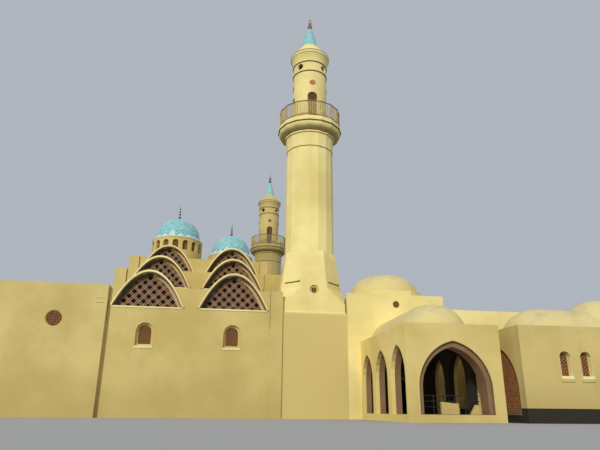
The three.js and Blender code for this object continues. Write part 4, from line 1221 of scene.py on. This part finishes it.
    def lantern_doors(self, side, x, y, paint):
        """In each of four doors a leaf with upright bars and a round screened head, and a star above it."""
        foot, radius, front = LANTERN["foot"], LANTERN["radius"], side == "front"
        half, leaf_top = LANTERN_DOOR["half"], LANTERN_DOOR["widened"] + 0.1
        head = circle_outline(half + 0.1, LANTERN_DOOR["middle"])
        bar_feet = np.array([(along, foot + 0.05) for along in (-0.36, -0.12, 0.12, 0.36)])
        screens, panes, leaves, stars = [], [], [], []
        for turn in np.arange(4) * math.pi / 2:
            wall = Wall(x, y, turn, radius - 0.14)
            screens.append(lattice(wall, head, 0.2, 0.07, -0.02, 0.03))
            screens.append(bars(wall, bar_feet, bar_feet + (0, 3.7), 0.06, 0.0, 0.03))
            panes.append(plate(wall, head, -0.08, -0.04))
            leaves.append(boxes(wall, [-half, foot + 0.02, -0.06], [half, leaf_top, -0.02]))
            stars.append(plate(Wall(x, y, turn, radius), star_outline(0.42, 40.8), -0.06, 0.035))
        add_piece(f"{side}_lantern_screens", joined(screens), paint.brown)
        add_piece(f"{side}_lantern_stars", joined(stars), paint.screen if front else paint.brown)
        # Dark panes behind the heads, painted shade of the lantern's inside
        add_piece(f"{side}_lantern_panes", joined(panes), paint.pane_shade)
        add_piece(f"{side}_lantern_doors", joined(leaves), paint.door if front else paint.black)

    def spire(self, side, x, y, paint):
        """The tiled cone, whose radius is the power 0.55 of the share of height above it, and its finial."""
        base, rise = SPIRE["base"], SPIRE["rise"]
        part = np.linspace(0, 0.985, 24)
        cone = np.stack([(1 - part) ** 0.55, base + GAP + rise * part], 1)
        profile = np.concatenate([[(0, base + GAP)], cone, [(0, base + rise)]])
        shell = add_piece(f"{side}_spire", turned(profile, x, y, 48), paint.spire, 40,
                          replaces=(f"{side}_minaret_spire",))
        add_uv(shell, x, y, base, rise)
        finial = finial_curve(base + rise - 0.04, SPIRE["finial"], SPIRE_KNOBS, 0.04)
        metal = paint.rose_gold if side == "front" else paint.gold
        add_piece(f"{side}_spire_finial", turned(finial, x, y, 20), metal, 40)

    def plinth(self, side, x, y, paint):
        """A dark bar in each slanting face of the plinth, painted shade of a slot, and an outlet box in the
        same dark paint.
        """
        slot = PLINTH["slot"]
        shapes = []
        for turn in (-math.pi / 4, math.pi / 4, 3 * math.pi / 4, -3 * math.pi / 4):
            wall = Wall(x, y, turn, PLINTH["face"])
            shapes.append(boxes(wall, [[-0.95, slot, -0.1], [0.98, slot - 0.03, -0.1]],
                                [[0.95, slot + 0.14, 0.012], [1.12, slot + 0.2, 0.06]]))
        add_piece(f"{side}_plinth_slots", joined(shapes), paint.shadow)


class MOSQUE_OT_porch(PieceOperator, bpy.types.Operator):
    """Painted reveals, low walls and handrails of the porch"""

    bl_idname = "mosque.porch"
    bl_label = "Porch"

    def build(self, sizes, paint):
        self.reveals(paint)
        # A coat of the left wall's lighter paint over the front wall's end, so the painted light reaches the
        # corner
        left = Wall(PORCH["left"], PORCH["front"] + 0.2, "left")
        corner = boxes(left, [-0.2, 0.0, -0.01], [0.22, PORCH["top"], 0.005])
        add_piece("porch_corner_coat", corner, paint.porch_side_lit)
        rear = Wall(0, PORCH_LOW_WALLS_Y, "front")
        low_walls = [self.low_wall(rear, *measures) for measures in PORCH_LOW_WALLS]
        add_piece("porch_low_walls", joined(low_walls), paint.low_wall)
        start, end, thick = PORCH_RAIL["left"], PORCH_RAIL["right"], PORCH_RAIL["thick"]
        rail, levels = Wall(0, PORCH_RAIL["y"], "front"), PORCH_RAIL["levels"]
        feet = np.arange(start + 0.2, end - 0.1, 0.95)
        posts = uprights(rail, feet, thick, (FLOOR_TOP, levels[-1]), (0.0, thick))
        rails = boxes(rail, [[start, level, 0.0] for level in levels],
                      [[end, level + thick, thick] for level in levels])
        add_piece("porch_handrails", joined([posts, rails]), paint.black)

    def reveals(self, paint):
        """Painted linings of the front arch, which steps in behind its face, and of the side arches."""
        front = Wall(PORCH["middle"], PORCH["front"], "front")
        arch = pointed_outline(**PORCH_ARCH, steps=32)
        inner = pointed_outline(**PORCH_INNER_ARCH, steps=32)
        side_arch = pointed_outline(**PORCH_SIDE_ARCH, steps=32)
        coats = [band(front, grown(arch, -0.03), arch, -0.3, 0.0),
                 band(front, inner, grown(arch, -0.02), -0.31, -0.28),
                 band(front, grown(inner, -0.03), inner, -1.6, -0.28)]
        coats += [band(Wall(PORCH[side], y, side), grown(side_arch, -0.03), side_arch, -0.9, -0.36)
                  for side in ("left", "right") for y in PORCH_SIDE_ARCHES]
        add_piece("porch_reveals", joined(coats), paint.rose, 30)

    def low_wall(self, wall, left, right, high_left, high_right, slant):
        """A low wall with a falling top and, on its left, a slanting end."""
        outline = [(left, FLOOR_TOP), (right, FLOOR_TOP), (right, high_right), (left + slant, high_left)]
        return plate(wall, np.array(outline), -0.25, 0.0)


class MOSQUE_OT_side_wing(PieceOperator, bpy.types.Operator):
    """Screened arch of the right wing, and dark lines on the walls: gaps at the tiers' ends drawn in painted
    shadow, and the edges of an outlet
    """

    bl_idname = "mosque.side_wing"
    bl_label = "Right wing and joints"

    def build(self, sizes, paint):
        wall = Wall(SIDE_WING["left"], SIDE_WING["arch"], "left")
        half, sill = SCREENED_ARCH["half"], SCREENED_ARCH["sill"]
        arch = pointed_outline(**SCREENED_ARCH, steps=32)
        add_piece("side_arch_screen", lattice(wall, arch, 0.2, 0.07, -0.26, -0.2), paint.screen)
        add_piece("side_arch_back", plate(wall, arch, -0.34, -0.3), paint.brown)
        block = boxes(wall, [-half, FLOOR_TOP + 0.01, -0.4], [half, sill, 0.05])
        add_piece("side_arch_sill", block, paint.rose)
        # Dark lines at the tiers' ends: a real gap, drawn as painted shadow
        joints = []
        for side, sign in zip(SIDES, (1, -1)):
            for tier in range(len(TIERS)):
                wall = Wall(0, at_side(side, tier * BAY), side)
                top = PARAPET + tier * TIER_STEP
                for x in (sign * (HALL_LEFT + 0.02), sign * (HALL_RIGHT - 0.02)):
                    low, high = [x - 0.02, top - TIER_STEP + 0.02, -0.02], [x + 0.02, top, 0.004]
                    joints.append(boxes(wall, low, high))
        joints.append(boxes(Wall(-11.8, WING_FRONT, "front"), [[-0.4, 10.95, -0.02], [-0.4, 11.42, -0.02]],
                            [[0.4, 10.98, 0.004], [0.4, 11.45, 0.004]]))
        add_piece("wall_joints_in_painted_shadow", joined(joints), paint.shadow)


class MOSQUE_OT_stage(bpy.types.Operator):
    """Pale floor, soft light and the camera"""

    bl_idname = "mosque.stage"
    bl_label = "Stage"

    def execute(self, context):
        self.floor(context)
        self.light(context)
        self.camera(context)
        return {"FINISHED"}

    def floor(self, context):
        """A flat square far past the building."""
        reach = FLOOR["reach"]
        mesh = bpy.data.meshes.new("floor")
        mesh.from_pydata([(-reach, -reach, 0), (reach, -reach, 0), (reach, reach, 0), (-reach, reach, 0)], [],
                         [(0, 1, 2, 3)])
        shader = Shader("pale_floor", roughness=0.95)
        shader.colour(FLOOR["colour"])
        mesh.materials.append(shader.material)
        floor = bpy.data.objects.new("floor", mesh)
        context.scene.collection.objects.link(floor)

    def light(self, context):
        """A low sun from the front left, and a pale sky."""
        sun = bpy.data.lights.new("key", "SUN")
        sun.energy = SUN["energy"]
        sun.angle = math.radians(SUN["width"])
        sun.color = SUN["colour"]
        key = bpy.data.objects.new("key", sun)
        elevation, azimuth = math.radians(SUN["elevation"]), math.radians(SUN["azimuth"])
        level = math.cos(elevation)
        direction = np.array([math.sin(azimuth) * level, -math.cos(azimuth) * level, math.sin(elevation)])
        key.rotation_euler = Matrix(basis_towards(direction)).to_euler()
        context.scene.collection.objects.link(key)
        world = bpy.data.worlds.new("studio")
        world.use_nodes = True
        background = world.node_tree.nodes["Background"]
        background.inputs["Color"].default_value = SKY["colour"]
        background.inputs["Strength"].default_value = SKY["strength"]
        context.scene.world = world
        context.scene.view_settings.view_transform = "Standard"

    def camera(self, context):
        """The view of the photograph: pitch, heading and roll fitted to its upright and level edges."""
        pitch, heading, roll = math.radians(PITCH), math.radians(HEADING), math.radians(ROLL)
        level = math.cos(pitch)
        ahead = np.array([math.sin(heading) * level, math.cos(heading) * level, math.sin(pitch)])
        right = np.array([math.cos(heading), -math.sin(heading), 0.0])
        up = np.cross(right, ahead)
        right, up = math.cos(roll) * right - math.sin(roll) * up, math.sin(roll) * right + math.cos(roll) * up
        lens = bpy.data.cameras.new("camera")
        lens.sensor_fit = "HORIZONTAL"
        lens.sensor_width = SENSOR
        lens.lens = PHOTO_FOCAL / PHOTO_WIDTH * SENSOR
        lens.clip_end = 200.0
        camera = bpy.data.objects.new("camera", lens)
        matrix = np.eye(4)
        matrix[:3] = np.stack([right, up, -ahead, place(STAND)], 1)
        camera.matrix_world = Matrix(matrix)
        context.scene.collection.objects.link(camera)
        context.scene.camera = camera


def basis_towards(direction):
    """Rotation whose own z axis points along a direction, so that a light there shines back along it."""
    side = np.cross((0, 0, 1), direction)
    side = side / np.linalg.norm(side)
    return np.stack([side, np.cross(direction, side), direction], 1)


STEPS = ("walls", "tympana", "windows", "round_windows", "tiled_domes", "low_domes", "minarets", "porch",
         "side_wing", "stage")


class MOSQUE_PT_panel(bpy.types.Panel):
    """Lists the steps in the sidebar"""

    bl_idname = "MOSQUE_PT_panel"
    bl_label = "Mosque"
    bl_space_type = "VIEW_3D"
    bl_region_type = "UI"
    bl_category = "Mosque"

    def draw(self, context):
        for group in (context.scene.mosque_sizes, context.scene.mosque_colours):
            for key in group.bl_rna.properties.keys():
                if key not in ("rna_type", "name"):
                    self.layout.prop(group, key)
        for step in STEPS:
            self.layout.operator(f"mosque.{step}")


CLASSES = (MosqueSizes, MosqueColours, MOSQUE_OT_walls, MOSQUE_OT_tympana, MOSQUE_OT_windows,
           MOSQUE_OT_round_windows, MOSQUE_OT_tiled_domes, MOSQUE_OT_low_domes, MOSQUE_OT_minarets,
           MOSQUE_OT_porch, MOSQUE_OT_side_wing, MOSQUE_OT_stage, MOSQUE_PT_panel)


def register():
    """Makes the add-on's classes known to the program and gives the scene its settings."""
    for cls in CLASSES:
        bpy.utils.register_class(cls)
    bpy.types.Scene.mosque_sizes = PointerProperty(type=MosqueSizes)
    bpy.types.Scene.mosque_colours = PointerProperty(type=MosqueColours)


def unregister():
    """Takes both away again."""
    del bpy.types.Scene.mosque_sizes
    del bpy.types.Scene.mosque_colours
    for cls in reversed(CLASSES):
        bpy.utils.unregister_class(cls)


def corners(bounds):
    """A box's two corners as plain lists."""
    return [[float(value) for value in corner] for corner in bounds]


def main():
    """Builds everything in order."""
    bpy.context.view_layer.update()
    register()
    for step in STEPS:
        getattr(bpy.ops.mosque, step)()


if __name__ == "__main__":
    main()
